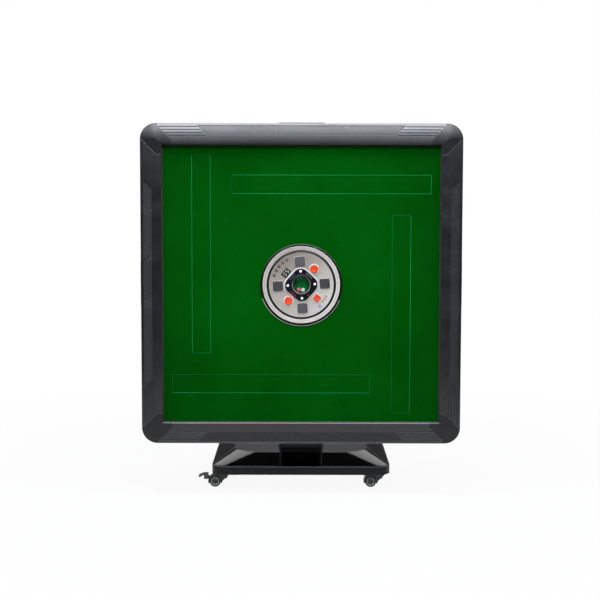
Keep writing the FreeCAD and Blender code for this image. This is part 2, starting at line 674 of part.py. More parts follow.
def make_caster_wheels(node, x, y):
    """Two wheels turned in one with the axle between them."""
    body = new_body(node)
    side = new_sketch(body, node + "_half", "XY_Plane")
    edge = s.tyre_edge
    ring_at = s.tyre_radius - 4 * edge
    hub_out = s.hub_radius + s.face_recess
    upper = [(0, s.tyre_outer + s.hub_proud), (s.hub_radius, s.tyre_outer + s.hub_proud),
             (hub_out, s.tyre_outer - s.face_recess), (ring_at, s.tyre_outer - s.face_recess),
             (ring_at + s.face_recess, s.tyre_outer), (s.tyre_radius - edge, s.tyre_outer),
             (s.tyre_radius, s.tyre_outer - edge), (s.tyre_radius, s.tyre_inner + edge),
             (s.tyre_radius - edge, s.tyre_inner), (s.axle_radius, s.tyre_inner)]
    lower = [(radius, -along) for radius, along in reversed(upper)]
    polygon(side, upper + lower)
    revolve(body, node + "_turned", side)
    keep(node, body, (x - s.trail, y, s.tyre_radius))


def make_pedal(name, root):
    """The pedal itself: level over the ears, then bent down towards its bevelled nose."""
    body = new_body(name)
    tip = root - s.pedal_long
    bend = root - s.pedal_bend
    top = s.pedal_bottom + s.pedal_thick
    low_tip = s.pedal_bottom - s.pedal_dip
    profile = new_sketch(body, name + "_profile", "XZ_Plane", -s.pedal_half)
    polygon(profile, [
        (root, s.pedal_bottom), (root, top), (bend, top),
        (tip + s.pedal_nose, top - s.pedal_dip + s.pedal_nose), (tip, top - s.pedal_dip),
        (tip, low_tip + s.pedal_nose), (tip + s.pedal_nose, low_tip), (bend, s.pedal_bottom),
    ])
    pad(body, name + "_pad", profile, 2 * s.pedal_half)
    return body


def make_brake_lever(node, x, y):
    """Foot pedal on two ears either side of the hood's lug, with its pin."""
    half_ear = s.ear_long / 2
    ear_x = (-s.lever_at - half_ear, -s.lever_at + half_ear)
    ear_z = (s.lever_height - half_ear + s.over, s.pedal_bottom + s.over)
    inner = s.lug_half + s.caster_gap
    outer = inner + s.ear_thick
    solids = [block(node + "_ear_far", ear_x, (inner, outer), ear_z),
              block(node + "_ear_near", ear_x, (-outer, -inner), ear_z),
              make_pedal(node + "_pedal", ear_x[1]),
              rod(node + "_pin", s.lever_pin, (-s.lever_at, -outer, s.lever_height), 2 * outer, "y")]
    keep(node, fuse(node, solids), (x, y, 0))


def make_casters():
    names = ("front_left", "front_right", "rear_left", "rear_right")
    braked = ("front_left", "rear_right")
    for name, (x, y) in zip(names, caster_places()):
        make_caster_hood(f"caster_hood_{name}", x, y, name in braked)
        make_caster_wheels(f"caster_wheels_{name}", x, y)
        if name in braked:
            make_brake_lever(f"brake_lever_{name}", x, y)


# ---- rail frame ----
def crown_band(near, far, top_drop, low_drop):
    """Face between two arcs that follow the rail's outer curve at two depths below it."""
    centre_u = float(s.rail_crown_at)
    centre_v = float(s.rail_crown - outer_arc)

    def arc(drop):
        radius = float(outer_arc) - drop
        points = [FreeCAD.Vector(0, u, centre_v + math.sqrt(radius ** 2 - (u - centre_u) ** 2))
                  for u in (near, (near + far) / 2, far)]
        return points[0], points[-1], Part.Arc(*points).toShape()

    top_start, top_end, top = arc(top_drop)
    low_start, low_end, low = arc(low_drop)
    ends = [Part.makeLine(top_start, low_start), Part.makeLine(low_end, top_end)]
    return Part.Face(Part.Wire(Part.__sortEdges__([top, low] + ends)))


def rail_section(far):
    """Section of the rail from its outer edge inwards, in the plane of distance and height."""
    low = float(board_bottom)
    crown_u = float(s.rail_crown_at)
    crown_v = float(s.rail_crown)

    def on_arc(u, radius):
        return FreeCAD.Vector(0, u, crown_v - radius + math.sqrt(radius ** 2 - (u - crown_u) ** 2))

    outer = float(outer_arc)
    inner = float(inner_arc)
    start = on_arc(0, outer)
    turning = min(crown_u, far)
    end = on_arc(turning, outer)
    edges = [Part.Arc(start, on_arc(turning / 2, outer), end).toShape()]
    if far > crown_u:
        crown = end
        end = on_arc(far, inner)
        edges.append(Part.Arc(crown, on_arc((crown_u + far) / 2, inner), end).toShape())
    corners = [end, FreeCAD.Vector(0, far, low), FreeCAD.Vector(0, 0, low), start]
    edges += [Part.makeLine(a, b) for a, b in zip(corners, corners[1:])]
    return Part.Face(Part.Wire(edges))


def plan_prism(points):
    """Upright prism over a plan outline, taller than the rail on both sides."""
    low = 2 * float(board_bottom)
    corners = [FreeCAD.Vector(x, y, low) for x, y in points]
    height = FreeCAD.Vector(0, 0, 4 * float(s.rail_crown) - 2 * low)
    return Part.Face(Part.makePolygon(corners + corners[:1])).extrude(height)


def seam_points(gap):
    """Plan of the seam between a corner cap and a rail, from the outer edge inwards."""
    start = float(s.cap_start) + gap
    land = float(s.cap_land)
    slant = float(s.cap_slant)
    width = float(s.rail_width)
    return [(start, 0), (start, land), (start + slant, land + slant), (start + slant, width)]


def rail_shape():
    """The bottom rail: its outer edge lies on Y = 0 and it runs from X = 0 between two caps."""
    length = float(s.frame_side)
    seam = seam_points(float(s.cap_seam))
    outline = seam + [(length - x, y) for x, y in reversed(seam)]
    rail = rail_section(float(s.rail_width)).extrude(FreeCAD.Vector(length, 0, 0))
    rail = rail.common(plan_prism(outline))
    floor = crown_band(float(s.inlay_near), float(s.inlay_far), -float(s.rail_crown),
                       float(s.inlay_recess + s.inlay_thick))
    recess = floor.extrude(FreeCAD.Vector(length, 0, 0)).common(plan_prism(inlay_outline(0)))
    return rail.cut(Part.makeCompound([recess] + rail_fins()))


def inlay_outline(gap):
    """Plan of the patterned strip: a long trapezium with ends at 45 degrees."""
    length = float(s.frame_side)
    near = float(s.inlay_near) + gap
    far = float(s.inlay_far) - gap
    start = float(s.inlay_start) + gap
    slant = far - near
    return [(start, near), (start + slant, far), (length - start - slant, far), (length - start, near)]


def rail_fins():
    """Short grooves at both ends of the rail, from the cap's seam to the strip's slanted end."""
    length = float(s.frame_side)
    wide = float(s.fin_wide)
    gap = float(s.fin_gap)
    grooves = []
    for number in range(SIZES["fin_count"]):
        u = float(s.fin_first + number * s.fin_pitch)
        start = float(s.cap_start) + u - float(s.cap_land) + gap
        end = float(s.inlay_start) + u - float(s.inlay_near) - gap
        rise = float(outer_arc) ** 2 - (u - float(s.rail_crown_at)) ** 2
        surface = float(s.rail_crown - outer_arc) + math.sqrt(rise)
        low = surface - float(s.fin_deep)
        for x in (start, length - end):
            corner = FreeCAD.Vector(x, u - wide / 2, low)
            grooves.append(Part.makeBox(end - start, wide, 4 * float(s.fin_deep), corner))
    return grooves


def inlay_shape():
    gap = float(s.cap_seam) / 2
    near = float(s.inlay_near) + gap
    far = float(s.inlay_far) - gap
    band = crown_band(near, far, float(s.inlay_recess), float(s.inlay_recess + s.inlay_thick))
    strip = band.extrude(FreeCAD.Vector(float(s.frame_side), 0, 0))
    return strip.common(plan_prism(inlay_outline(gap)))


def cap_shape():
    """Corner cap: the rail's section swept round the corner, with a mitre inside it."""
    corner = float(s.frame_corner)
    width = float(s.rail_width)
    seam = seam_points(0)
    arm_plan = [(corner, 0)] + seam + [(width, width), (corner, corner)]
    section = rail_section(width)
    along_x = section.extrude(FreeCAD.Vector(seam[-1][0], 0, 0)).common(plan_prism(arm_plan))
    along_y = along_x.mirror(FreeCAD.Vector(), FreeCAD.Vector(1, -1, 0))
    hub = FreeCAD.Vector(corner, corner, 0)
    outer = rail_section(corner)
    outer.translate(FreeCAD.Vector(corner, 0, 0))
    bend = outer.revolve(hub, FreeCAD.Vector(0, 0, 1), -90)
    return along_x.fuse([along_y, bend]).removeSplitter()


def shape_feature(name, shape):
    feature = doc.addObject("Part::Feature", name)
    feature.Shape = shape
    return feature


def onto_side(shape, turns):
    """A shape drawn against the frame's lower left corner, moved there and turned to a side."""
    half = float(half_frame)
    start = FreeCAD.Placement(FreeCAD.Vector(-half, -half, 0), FreeCAD.Rotation())
    turn = FreeCAD.Placement(FreeCAD.Vector(), quarter(turns))
    return shape.transformed(turn.multiply(start).toMatrix(), True)


def make_rail_frame():
    for turns, side in enumerate(("bottom", "right", "top", "left")):
        rail = onto_side(rail_shape(), turns)
        on_table(f"rail_{side}", shape_feature(f"rail_{side}", rail))
    for node, shape in (("corner_caps", cap_shape()), ("rail_inlays", inlay_shape())):
        copies = [onto_side(shape, turns) for turns in range(4)]
        on_table(node, shape_feature(node, Part.makeCompound(copies)))


# ---- playing surface ----
def turned_box(name, turns, x, y, z):
    """A box drawn on the top side of the table and carried to another side by quarter turns."""
    ranges = [(x, y), ((-y[1], -y[0]), x), ((-x[1], -x[0]), (-y[1], -y[0])), (y, (-x[1], -x[0]))]
    side_x, side_y = ranges[turns]
    return block(name, side_x, side_y, z)


def slot_boxes(name, gap, z):
    """The four tile-lift slots, or the lifts themselves, in a pinwheel round the middle."""
    x = (s.lift_offset - s.lift_long / 2 - gap, s.lift_offset + s.lift_long / 2 + gap)
    y = (s.lift_from_middle - gap, s.lift_from_middle + s.lift_wide + gap)
    return [turned_box(f"{name}_{side}", turns, x, y, z) for turns, side in enumerate(SIDES)]


def make_playing_surface():
    side = 2 * (opening_half - s.board_gap)
    board_well = s.well_radius + s.well_wall + s.board_gap
    felt_well = collar_radius + s.board_gap
    for node, low, high, well in (("tabletop_board", board_bottom, -s.felt_thick, board_well),
                                  ("felt_cover", -s.felt_thick, as_size(0), felt_well)):
        sheet = centred(node + "_sheet", side, side, (low, high))
        through = (low - s.over, high + s.over)
        holes = slot_boxes(node + "_slot", s.lift_gap, through)
        holes.append(rod(node + "_well", well, (0, 0, low - s.over), high - low + 2 * s.over))
        on_table(node, cut(node, sheet, holes))


def make_tile_lifts():
    """Platforms level with the felt, each on a leg that slides through its motor block."""
    for turns, side in enumerate(SIDES):
        node = f"tile_lift_{side}"
        x = (s.lift_offset - s.lift_long / 2, s.lift_offset + s.lift_long / 2)
        y = (s.lift_from_middle, s.lift_from_middle + s.lift_wide)
        platform = turned_box(node + "_platform", turns, x, y, (-s.lift_thick, as_size(0)))
        leg = turned_box(node + "_leg", turns, *lift_leg(as_size(0)),
                         (-s.lift_leg_bottom, -s.lift_thick + s.over))
        on_table(node, fuse(node, [platform, leg]))


def lift_leg(gap):
    half_wide = s.lift_leg_wide / 2 + gap
    half_thick = s.lift_leg_thick / 2 + gap
    return ((s.lift_offset - half_wide, s.lift_offset + half_wide),
            (lift_middle - half_thick, lift_middle + half_thick))


def make_lift_motors():
    motors = []
    height = (-s.bar_top, -s.lift_motor_top)
    for turns, side in enumerate(SIDES):
        x = (s.lift_offset - s.lift_motor_long / 2, s.lift_offset + s.lift_motor_long / 2)
        y = (lift_middle - s.lift_motor_wide / 2, lift_middle + s.lift_motor_wide / 2)
        solid = turned_box(f"lift_motor_solid_{side}", turns, x, y, height)
        guide = turned_box(f"lift_guide_{side}", turns, *lift_leg(s.guide_gap),
                           (height[0] - s.over, height[1] + s.over))
        motors.append(cut(f"lift_motor_{side}", solid, [guide]))
    on_table("lift_motors", group("lift_motors", motors))


# ---- box and chassis ----
def side_wedge(name, turns, near, far, z):
    """The plan between the table's two diagonals on one side, from near its middle outwards."""
    shape = doc.addObject("Part::Wedge", name)
    for prop, length in (("Xmin", -near), ("Xmax", near), ("X2min", -far), ("X2max", far)):
        bind(shape, prop, length)
    for prop, length in (("Ymin", near), ("Ymax", far), ("Zmin", z[0]), ("Z2min", z[0])):
        bind(shape, prop, length)
    for prop in ("Zmax", "Z2max"):
        bind(shape, prop, z[1])
    return place(shape, (0, 0, 0), quarter(turns))


def make_box_shell():
    """Four upright panels mitred at the corners, cut out for the drawers and the inlet, and the
    flat flange on top of them that turns inward under the rails."""
    body = new_body("shell_walls")
    inner = 2 * shell_inner
    inner_corner = s.shell_corner - s.shell_wall
    walls = new_sketch(body, "shell_wall_outline", "XY_Plane", -s.box_depth)
    rounded_rectangle(walls, 2 * shell_half, 2 * shell_half, s.shell_corner)
    rounded_rectangle(walls, inner, inner, inner_corner)
    pad(body, "shell_wall_pad", walls, s.box_depth + flange_bottom)
    half = s.drawer_wide / 2 + 2 * s.drawer_gap
    height = (-s.drawer_bottom - 2 * s.drawer_gap, -s.drawer_top + 2 * s.drawer_gap)
    wall = (shell_inner - s.over, shell_half + s.over)
    cut_box(body, "drawer_opening_top", (-half, half), wall, height)
    cut_box(body, "drawer_opening_bottom", (-half, half), (-wall[1], -wall[0]), height)
    cut_box(body, "drawer_opening_right", wall, (-half, half), height)
    cut_box(body, "drawer_opening_left", (-wall[1], -wall[0]), (-half, half), height)
    cut_box(body, "inlet_opening", wall,
            (s.inlet_y - s.inlet_long / 2 - s.board_gap, s.inlet_y + s.inlet_long / 2 + s.board_gap),
            (s.inlet_z - s.inlet_high / 2 - s.board_gap, s.inlet_z + s.inlet_high / 2 + s.board_gap))
    panels = []
    for turns, side in enumerate(SIDES):
        wedge = side_wedge(f"shell_wedge_{side}", turns, flange_half / 2, shell_half + s.over,
                           (-s.box_depth - s.over, board_bottom))
        panels.append(common(f"shell_panel_{side}", [body, wedge]))
    flange = new_body("shell_flange")
    ring = new_sketch(flange, "shell_flange_outline", "XY_Plane", flange_bottom)
    rounded_rectangle(ring, 2 * shell_half, 2 * shell_half, s.shell_corner)
    rounded_rectangle(ring, 2 * flange_half, 2 * flange_half, inner_corner)
    pad(flange, "shell_flange_pad", ring, s.shell_flange)
    on_table("box_shell", group("box_shell", panels + [flange]))


def make_bottom_cover():
    body = new_body("bottom_cover")
    outline = new_sketch(body, "cover_outline", "XY_Plane", -s.box_depth - s.cover_thick)
    rounded_rectangle(outline, 2 * shell_half, 2 * shell_half, s.shell_corner)
    pad(body, "cover_plate", outline, s.cover_thick)
    half_x = s.plate_wide / 2 + s.plate_gap
    half_y = s.plate_long / 2 + s.plate_gap
    cut_box(body, "bracket_opening", (-half_x, half_x),
            (pivot_table_y - half_y, pivot_table_y + half_y),
            (-s.box_depth - s.cover_thick - s.over, -s.box_depth + s.over))
    on_table("bottom_cover", body)


def make_chassis_frame():
    """Ring of bars, a grid of four bars, the middle plate with the guide tube, and posts."""
    half = shell_inner - s.frame_gap
    height = (-s.bar_bottom, -s.bar_top)
    through = (height[0] - s.over, height[1] + s.over)
    ring = cut("chassis_ring", centred("chassis_outer", 2 * half, 2 * half, height),
               [centred("chassis_gap", 2 * (half - s.ring_bar), 2 * (half - s.ring_bar), through)])
    reach = half - s.ring_bar + s.over
    solids = [ring]
    for sign in (-1, 1):
        low = sign * s.grid_bar_at - s.bar_wide / 2
        across = (low, low + s.bar_wide)
        solids.append(block(f"bar_along_y_{sign + 1}", across, (-reach, reach), height))
        solids.append(block(f"bar_along_x_{sign + 1}", (-reach, reach), across, height))
    middle = 2 * s.grid_bar_at
    solids.append(centred("middle_plate", middle, middle,
                          (-s.bar_top - s.centre_plate_thick, -s.bar_top)))
    guide_bottom = -s.bar_bottom
    solids.append(rod("guide_tube", s.guide_outer, (0, 0, guide_bottom), -s.guide_top - guide_bottom))
    solids.append(rod("guide_shoulder", s.guide_shoulder,
                      (0, 0, -s.shoulder_top - s.shoulder_thick), s.shoulder_thick))
    post = half - s.post_inset - s.post_side / 2
    for number, (x, y) in enumerate(((1, 1), (-1, 1), (-1, -1), (1, -1))):
        solids.append(centred(f"post_{number}", s.post_side, s.post_side,
                              (-s.bar_top - s.over, flange_bottom), (x * post, y * post)))
    bore = rod("guide_bore", s.stem_radius + s.stem_clear, (0, 0, guide_bottom - s.over),
               -s.guide_top - guide_bottom + 2 * s.over)
    bounds = rounded_prism("chassis_bounds", 2 * half, 2 * half, s.shell_corner - s.shell_wall,
                           (-s.bar_bottom, flange_bottom))
    whole = common("chassis_trimmed", [fuse("chassis_whole", solids), bounds])
    on_table("chassis_frame", cut("chassis_frame", whole, [bore]))


# ---- drawers ----
def make_drawers():
    for turns, side in enumerate(SIDES):
        node = f"drawer_{side}"
        half = s.drawer_wide / 2
        back = shell_inner - s.drawer_long
        front = shell_half + s.drawer_gap
        height = (-s.drawer_bottom, -s.drawer_top)
        tray = turned_box(node + "_tray", turns, (-half, half), (back, front + s.over), height)
        hollow = turned_box(node + "_hollow", turns, (-half + s.drawer_wall, half - s.drawer_wall),
                            (back + s.drawer_wall, front - s.over),
                            (height[0] + s.drawer_wall, height[1] + s.over))
        panel = turned_box(node + "_front", turns, (-s.front_wide / 2, s.front_wide / 2),
                           (front, front + s.drawer_front), (-s.front_bottom, -s.lip_top))
        lip = turned_box(node + "_lip", turns, (-s.lip_wide / 2, s.lip_wide / 2),
                         (front, half_frame + s.lip_proud), (-s.lip_top - s.lip_thick, -s.lip_top))
        on_table(node, fuse(node, [cut(node + "_box", tray, [hollow]), panel, lip]))


def make_drawer_runners():
    """Two angle runners a drawer, fixed under the flange and against the wall."""
    runners = []
    for turns, side in enumerate(SIDES):
        inner = s.drawer_wide / 2 + s.drawer_gap
        along = (shell_inner - s.drawer_long, shell_inner)
        ledge_top = -s.drawer_bottom - s.drawer_gap
        ledge_low = ledge_top - s.runner_ledge_thick
        for sign in (-1, 1):
            name = f"runner_{side}_{sign + 1}"
            wall_x = ordered(sign * inner, sign * (inner + s.runner_thick))
            ledge_x = ordered(sign * (inner - s.runner_ledge), sign * (inner + s.runner_thick))
            wall = turned_box(name + "_wall", turns, wall_x, along, (ledge_low, flange_bottom))
            ledge = turned_box(name + "_ledge", turns, ledge_x, along, (ledge_low, ledge_top))
            runners.append(fuse(name, [wall, ledge]))
    on_table("drawer_runners", group("drawer_runners", runners))


def ordered(first, second):
    return (first, second) if float(first) < float(second) else (second, first)


# ---- shuffling drum and its drive ----
def make_shuffle_drum():
    """Round tray that turns on the guide tube and stirs the tiles."""
    floor_z = -s.drum_floor_top - s.drum_wall
    base = -s.shoulder_top + s.drive_gap
    dish = cut("drum_dish",
               rod("drum_solid", s.drum_radius, (0, 0, floor_z), -s.drum_top - floor_z),
               [rod("drum_hollow", s.drum_radius - s.drum_wall, (0, 0, -s.drum_floor_top),
                    s.drum_floor_top - s.drum_top + s.over)])
    hub = rod("drum_hub", s.drum_hub, (0, 0, base), -s.drum_hub_top - base)
    bore = rod("drum_bore", s.guide_outer + s.stem_clear, (0, 0, base - s.over),
               -s.drum_hub_top - base + 2 * s.over)
    on_table("shuffle_drum", cut("shuffle_drum", fuse("drum_whole", [dish, hub]), [bore]))


def make_drive():
    wheel = tube("drive_wheel", s.motor_shaft + s.stem_clear, s.wheel_radius,
                 (drive_at, drive_at, -s.wheel_bottom), s.wheel_bottom - s.wheel_top)
    on_table("drive_wheel", group("drive_wheel_node", [wheel]))
    case = rod("motor_case", s.motor_radius, (drive_at, drive_at, -s.box_depth),
               s.box_depth - s.motor_top)
    shaft = rod("motor_shaft", s.motor_shaft, (drive_at, drive_at, -s.motor_top - s.over),
                s.motor_top + s.over - s.wheel_top)
    collar = rod("motor_collar", 2 * s.motor_shaft, (drive_at, drive_at, -s.motor_top - s.over),
                 s.motor_top + s.over - s.wheel_bottom - s.drive_gap)
    on_table("drum_motor", fuse("drum_motor", [case, shaft, collar]))


# ---- electrics ----
def make_electrics():
    floor = -s.box_depth
    middle_x = (s.grid_bar_at + shell_inner) / 2
    supply = centred("supply_case", s.supply_wide, s.supply_long, (floor, floor + s.supply_high),
                     (-middle_x, middle_x))
    terminals = centred("supply_terminals", s.supply_wide / 2, s.ring_bar,
                        (floor + s.supply_high - s.over, floor + s.supply_high + s.standoff_high),
                        (-middle_x, middle_x))
    on_table("power_supply", fuse("power_supply", [supply, terminals]))
    board_top = floor + s.standoff_high + s.circuit_thick
    at = (-middle_x, -middle_x)
    pieces = [centred("circuit_board", s.circuit_long, s.circuit_wide,
                      (floor + s.standoff_high, board_top), at)]
    for number, (x, y) in enumerate(((1, 1), (-1, 1), (-1, -1), (1, -1))):
        foot = (at[0] + x * (s.circuit_long / 2 - s.standoff_high),
                at[1] + y * (s.circuit_wide / 2 - s.standoff_high))
        pieces.append(rod(f"standoff_{number}", s.standoff_high / 2, (*foot, floor),
                          s.standoff_high + s.circuit_thick / 2))
        chip = (at[0] + x * s.circuit_long / 4, at[1] + y * s.circuit_wide / 4)
        pieces.append(centred(f"chip_{number}", s.ring_bar, s.ring_bar / 2,
                              (board_top - s.circuit_thick / 2, board_top + s.standoff_high), chip))
    on_table("control_board", fuse("control_board", pieces))


def make_power_inlet():
    """Panel in the side wall with the mains socket and the pocket for the rocker."""
    half_long = s.inlet_long / 2
    half_high = s.inlet_high / 2
    case = block("inlet_case", (shell_half - s.inlet_deep, shell_half + s.inlet_lip / 2),
                 (s.inlet_y - half_long, s.inlet_y + half_long),
                 (s.inlet_z - half_high, s.inlet_z + half_high))
    lip = block("inlet_lip", (shell_half, shell_half + s.inlet_lip),
                (s.inlet_y - half_long - s.inlet_lip, s.inlet_y + half_long + s.inlet_lip),
                (s.inlet_z - half_high - s.inlet_lip, s.inlet_z + half_high + s.inlet_lip))
    socket_y = s.inlet_y + half_long / 2
    face = shell_half + s.inlet_lip + s.over
    socket = block("inlet_socket", (shell_half - s.inlet_deep / 2, face),
                   (socket_y - s.socket_long / 2, socket_y + s.socket_long / 2),
                   (s.inlet_z - s.socket_high / 2, s.inlet_z + s.socket_high / 2))
    pocket_half_y = s.rocker_long / 2 + s.rocker_gap
    pocket_half_z = s.rocker_wide / 2 + s.rocker_gap / 2
    rocker_y = s.inlet_y - half_long / 2
    rocker_space = block("rocker_pocket", (rocker_pivot_x() - s.rocker_thick, face),
                         (rocker_y - pocket_half_y, rocker_y + pocket_half_y),
                         (s.inlet_z - pocket_half_z, s.inlet_z + pocket_half_z))
    on_table("power_inlet",
             cut("power_inlet", fuse("inlet_whole", [case, lip]), [socket, rocker_space]))
    on_table("power_switch", rocker(rocker_y))


def rocker_pivot_x():
    return shell_half + s.inlet_lip - s.rocker_thick / 2


def rocker(y):
    """Rocker with a shallow vee on its face, tipping about a line along Z."""
    body = new_body("power_switch")
    outline = new_sketch(body, "rocker_outline", "XY_Plane", s.inlet_z - s.rocker_wide / 2)
    pivot = rocker_pivot_x()
    half = s.rocker_long / 2
    back = pivot - s.rocker_thick / 2
    front = pivot + s.rocker_thick / 2
    polygon(outline, [(back, y - half + s.rocker_gap), (front + s.over, y - half), (front, y),
                      (front + s.over, y + half), (back, y + half - s.rocker_gap)])
    pad(body, "rocker_pad", outline, s.rocker_wide)
    return body


# ---- console ----
def console_rotation():
    return FreeCAD.Rotation(FreeCAD.Vector(0, 0, 1), float(s.console_turn))


def on_console(node, shape):
    """Console pieces are drawn square to the table and stand a few degrees round."""
    return on_table(node, shape, console_rotation())


def turned_body(name, points):
    """A body turned about Z from half of its section, given as radius and height."""
    body = new_body(name)
    half = new_sketch(body, name + "_half", "XZ_Plane")
    polygon(half, points)
    revolve(body, name + "_turned", half)
    return body


def make_console_collar():
    tube_outer = s.well_radius + s.well_wall
    edge = s.collar_flange / 2
    points = [(s.well_radius, -s.collar_depth), (tube_outer, -s.collar_depth),
              (tube_outer, -s.felt_thick), (collar_radius, -s.felt_thick), (collar_radius, edge),
              (collar_radius - edge, s.collar_flange), (s.well_radius, s.collar_flange)]
    on_console("console_collar", turned_body("console_collar", points))


def make_console_housing():
    """Cap over the tile well, with the dice well in its middle and a long guided stem."""
    seat = s.panel_top - s.panel_thick
    panel_edge = s.panel_radius + s.console_gap
    rim_edge = s.console_rim_top / 2
    well_floor = -s.dice_floor
    under_floor = well_floor - s.dice_floor_thick
    inner_stem = s.stem_radius - s.stem_wall
    bore = s.dice_shaft + s.stem_clear
    points = [(bore, well_floor), (s.dice_well, well_floor), (s.dice_well, seat), (panel_edge, seat),
              (panel_edge, s.console_rim_top), (console_radius - rim_edge, s.console_rim_top),
              (console_radius, s.console_rim_top - rim_edge), (console_radius, -s.console_base),
              (s.stem_radius, -s.console_base), (s.stem_radius, -s.stem_bottom),
              (inner_stem, -s.stem_bottom), (inner_stem, under_floor), (bore, under_floor)]
    turned = turned_body("housing_body", points)
    floor = seat - s.button_space
    pockets = [shape for _, shape in button_prisms("housing", s.button_gap, (floor, seat + s.over))]
    on_console("console_housing", cut("console_housing", turned, pockets))


def make_console_panel():
    seat = s.panel_top - s.panel_thick
    through = (seat - s.over, s.panel_top + s.over)
    disc = rod("panel_disc", s.panel_radius, (0, 0, seat), s.panel_thick)
    holes = [shape for _, shape in button_prisms("panel", s.button_gap, through)]
    holes.append(rod("panel_dice_hole", s.dome_ledge, (0, 0, seat - s.over), s.panel_thick + 2 * s.over))
    on_console("console_panel", cut("console_panel", disc, holes))


def polar(radius, degrees):
    angle = math.radians(float(degrees))
    return (radius * math.cos(angle), radius * math.sin(angle))


def squared_prism(name, side, corner, z, at, degrees):
    """Upright prism with a round-cornered square section, turned about its own middle."""
    prism = rounded_prism(name, side, side, corner, (as_size(0), z[1] - z[0]))
    turn = FreeCAD.Rotation(FreeCAD.Vector(0, 0, 1), degrees)
    return place(prism, (at[0], at[1], z[0]), turn)


def button_prisms(owner, gap, z):
    """Every button's outline, grown by a gap, as prisms between two heights."""
    prisms = []
    side = s.seat_button + 2 * gap
    for turns, name in enumerate(SIDES):
        at = polar(s.seat_button_at, 90 + 90 * turns)
        label = f"{owner}_seat_button_{name}"
        prism = squared_prism(label, side, s.seat_corner + gap, z, at, 0)
        prisms.append((f"seat_button_{name}", prism))
    for name, degrees in (("upper", s.dice_button_angle), ("lower", s.dice_button_angle + 180)):
        at = polar(s.dice_button_at, degrees)
        prism = rod(f"{owner}_dice_button_{name}", s.dice_button + gap, (*at, z[0]), z[1] - z[0])
        prisms.append((f"dice_button_{name}", prism))
    at = polar(s.start_button_at, s.start_button_angle)
    side = s.start_button + 2 * gap
    start = squared_prism(f"{owner}_start_button", side, s.seat_corner + gap, z, at, 45)
    prisms.append(("start_button", start))
    return prisms


def make_buttons():
    seat = s.panel_top - s.panel_thick
    height = (seat - s.button_root + s.button_space, s.panel_top + s.button_high)
    for node, prism in button_prisms("key", as_size(0), height):
        on_console(node, group(node + "_node", [prism]))


def make_dice_unit():
    """Rounded diamond bezel, clear dome and the turning plate that throws the dice."""
    top = s.panel_top + s.bezel_thick
    side = s.bezel_half * math.sqrt(2) + 2 * s.bezel_corner * (math.sqrt(2) - 1) / math.sqrt(2)
    frame = squared_prism("bezel_frame", side, s.bezel_corner, (s.panel_top, top), (0, 0), 45)
    opening = rod("bezel_opening", s.dome_radius + s.dome_gap, (0, 0, s.panel_top - s.over),
                  s.bezel_thick + 2 * s.over)
    on_console("dice_bezel", cut("dice_bezel", frame, [opening]))
    rim_top = s.panel_top + s.dome_wall
    apex = s.panel_top + s.dome_high
    sphere = (s.dome_radius * s.dome_radius / (apex - rim_top) + (apex - rim_top)) / 2
    cap = []
    for name, radius in (("outer", sphere), ("inner", sphere - s.dome_wall)):
        ball = doc.addObject("Part::Sphere", f"dome_{name}")
        bind(ball, "Radius", radius)
        cap.append(place(ball, (0, 0, apex - sphere)))
    trim = rod("dome_trim", s.dome_radius, (0, 0, s.panel_top), s.dome_high + s.over)
    shell = common("dome_shell", [cut("dome_curve", cap[0], [cap[1]]), trim])
    rim = tube("dome_rim", s.dome_radius - 2 * s.dome_wall, s.dome_radius, (0, 0, s.panel_top),
               s.dome_wall)
    on_console("dice_dome", fuse("dice_dome", [shell, rim]))
    plate = rod("plate_disc", s.dice_plate_radius, (0, 0, -s.dice_floor + s.dome_gap),
                s.dice_plate_thick)
    shaft = rod("plate_shaft", s.dice_shaft, (0, 0, -s.dice_floor - s.dice_shaft_long),
                s.dice_shaft_long + s.over)
    on_console("dice_plate", fuse("dice_plate", [plate, shaft]))


# ---- checking and writing ----
def check_document():
    doc.recompute()
    faulty = [thing.Name for thing in doc.Objects
              if "Invalid" in thing.State or "Error" in thing.State]
    if faulty:
        raise RuntimeError(f"objects failed to build: {', '.join(faulty)}")
    for node, thing in nodes.items():
        shape = thing.Shape
        if shape.isNull() or not shape.isValid() or not shape.Solids:
            raise RuntimeError(f"{node} is not a valid solid")


def write_parts():
    for node, thing in nodes.items():
        thing.Shape.exportStep(f"parts/{node}.step")
        print(f"{node}: {len(thing.Shape.Solids)} solid(s), {thing.Shape.Volume / 1000:.1f} cm3")
    print(f"{len(nodes)} nodes")


make_base_frame()
make_base_skirt()
make_base_cover()
make_column()
make_column_bolts()
make_hinge_head()
make_hinge_pin()
make_lock_knob()
make_hinge_bracket()
make_casters()
make_rail_frame()
make_playing_surface()
make_tile_lifts()
make_lift_motors()
make_box_shell()
make_bottom_cover()
make_chassis_frame()
make_drawers()
make_drawer_runners()
make_shuffle_drum()
make_drive()
make_electrics()
make_power_inlet()
make_console_collar()
make_console_housing()
make_console_panel()
make_buttons()
make_dice_unit()
check_document()
write_parts()
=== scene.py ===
import json
import math

import bmesh
import bpy
from mathutils import Matrix, Vector


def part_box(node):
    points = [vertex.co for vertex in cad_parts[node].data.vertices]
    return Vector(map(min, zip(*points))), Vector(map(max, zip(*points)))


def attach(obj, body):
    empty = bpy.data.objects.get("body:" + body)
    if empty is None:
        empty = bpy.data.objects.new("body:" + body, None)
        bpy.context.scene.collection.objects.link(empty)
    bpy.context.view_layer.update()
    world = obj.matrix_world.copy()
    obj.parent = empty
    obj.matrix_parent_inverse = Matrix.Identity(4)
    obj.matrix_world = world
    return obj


# Looks of the folding automatic mahjong table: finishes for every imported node, and the trims,
# lamps, dice, screws and linings that are too fine for the construction model.
# Pieces are drawn in millimetres in the frame of what carries them, then placed in metres.

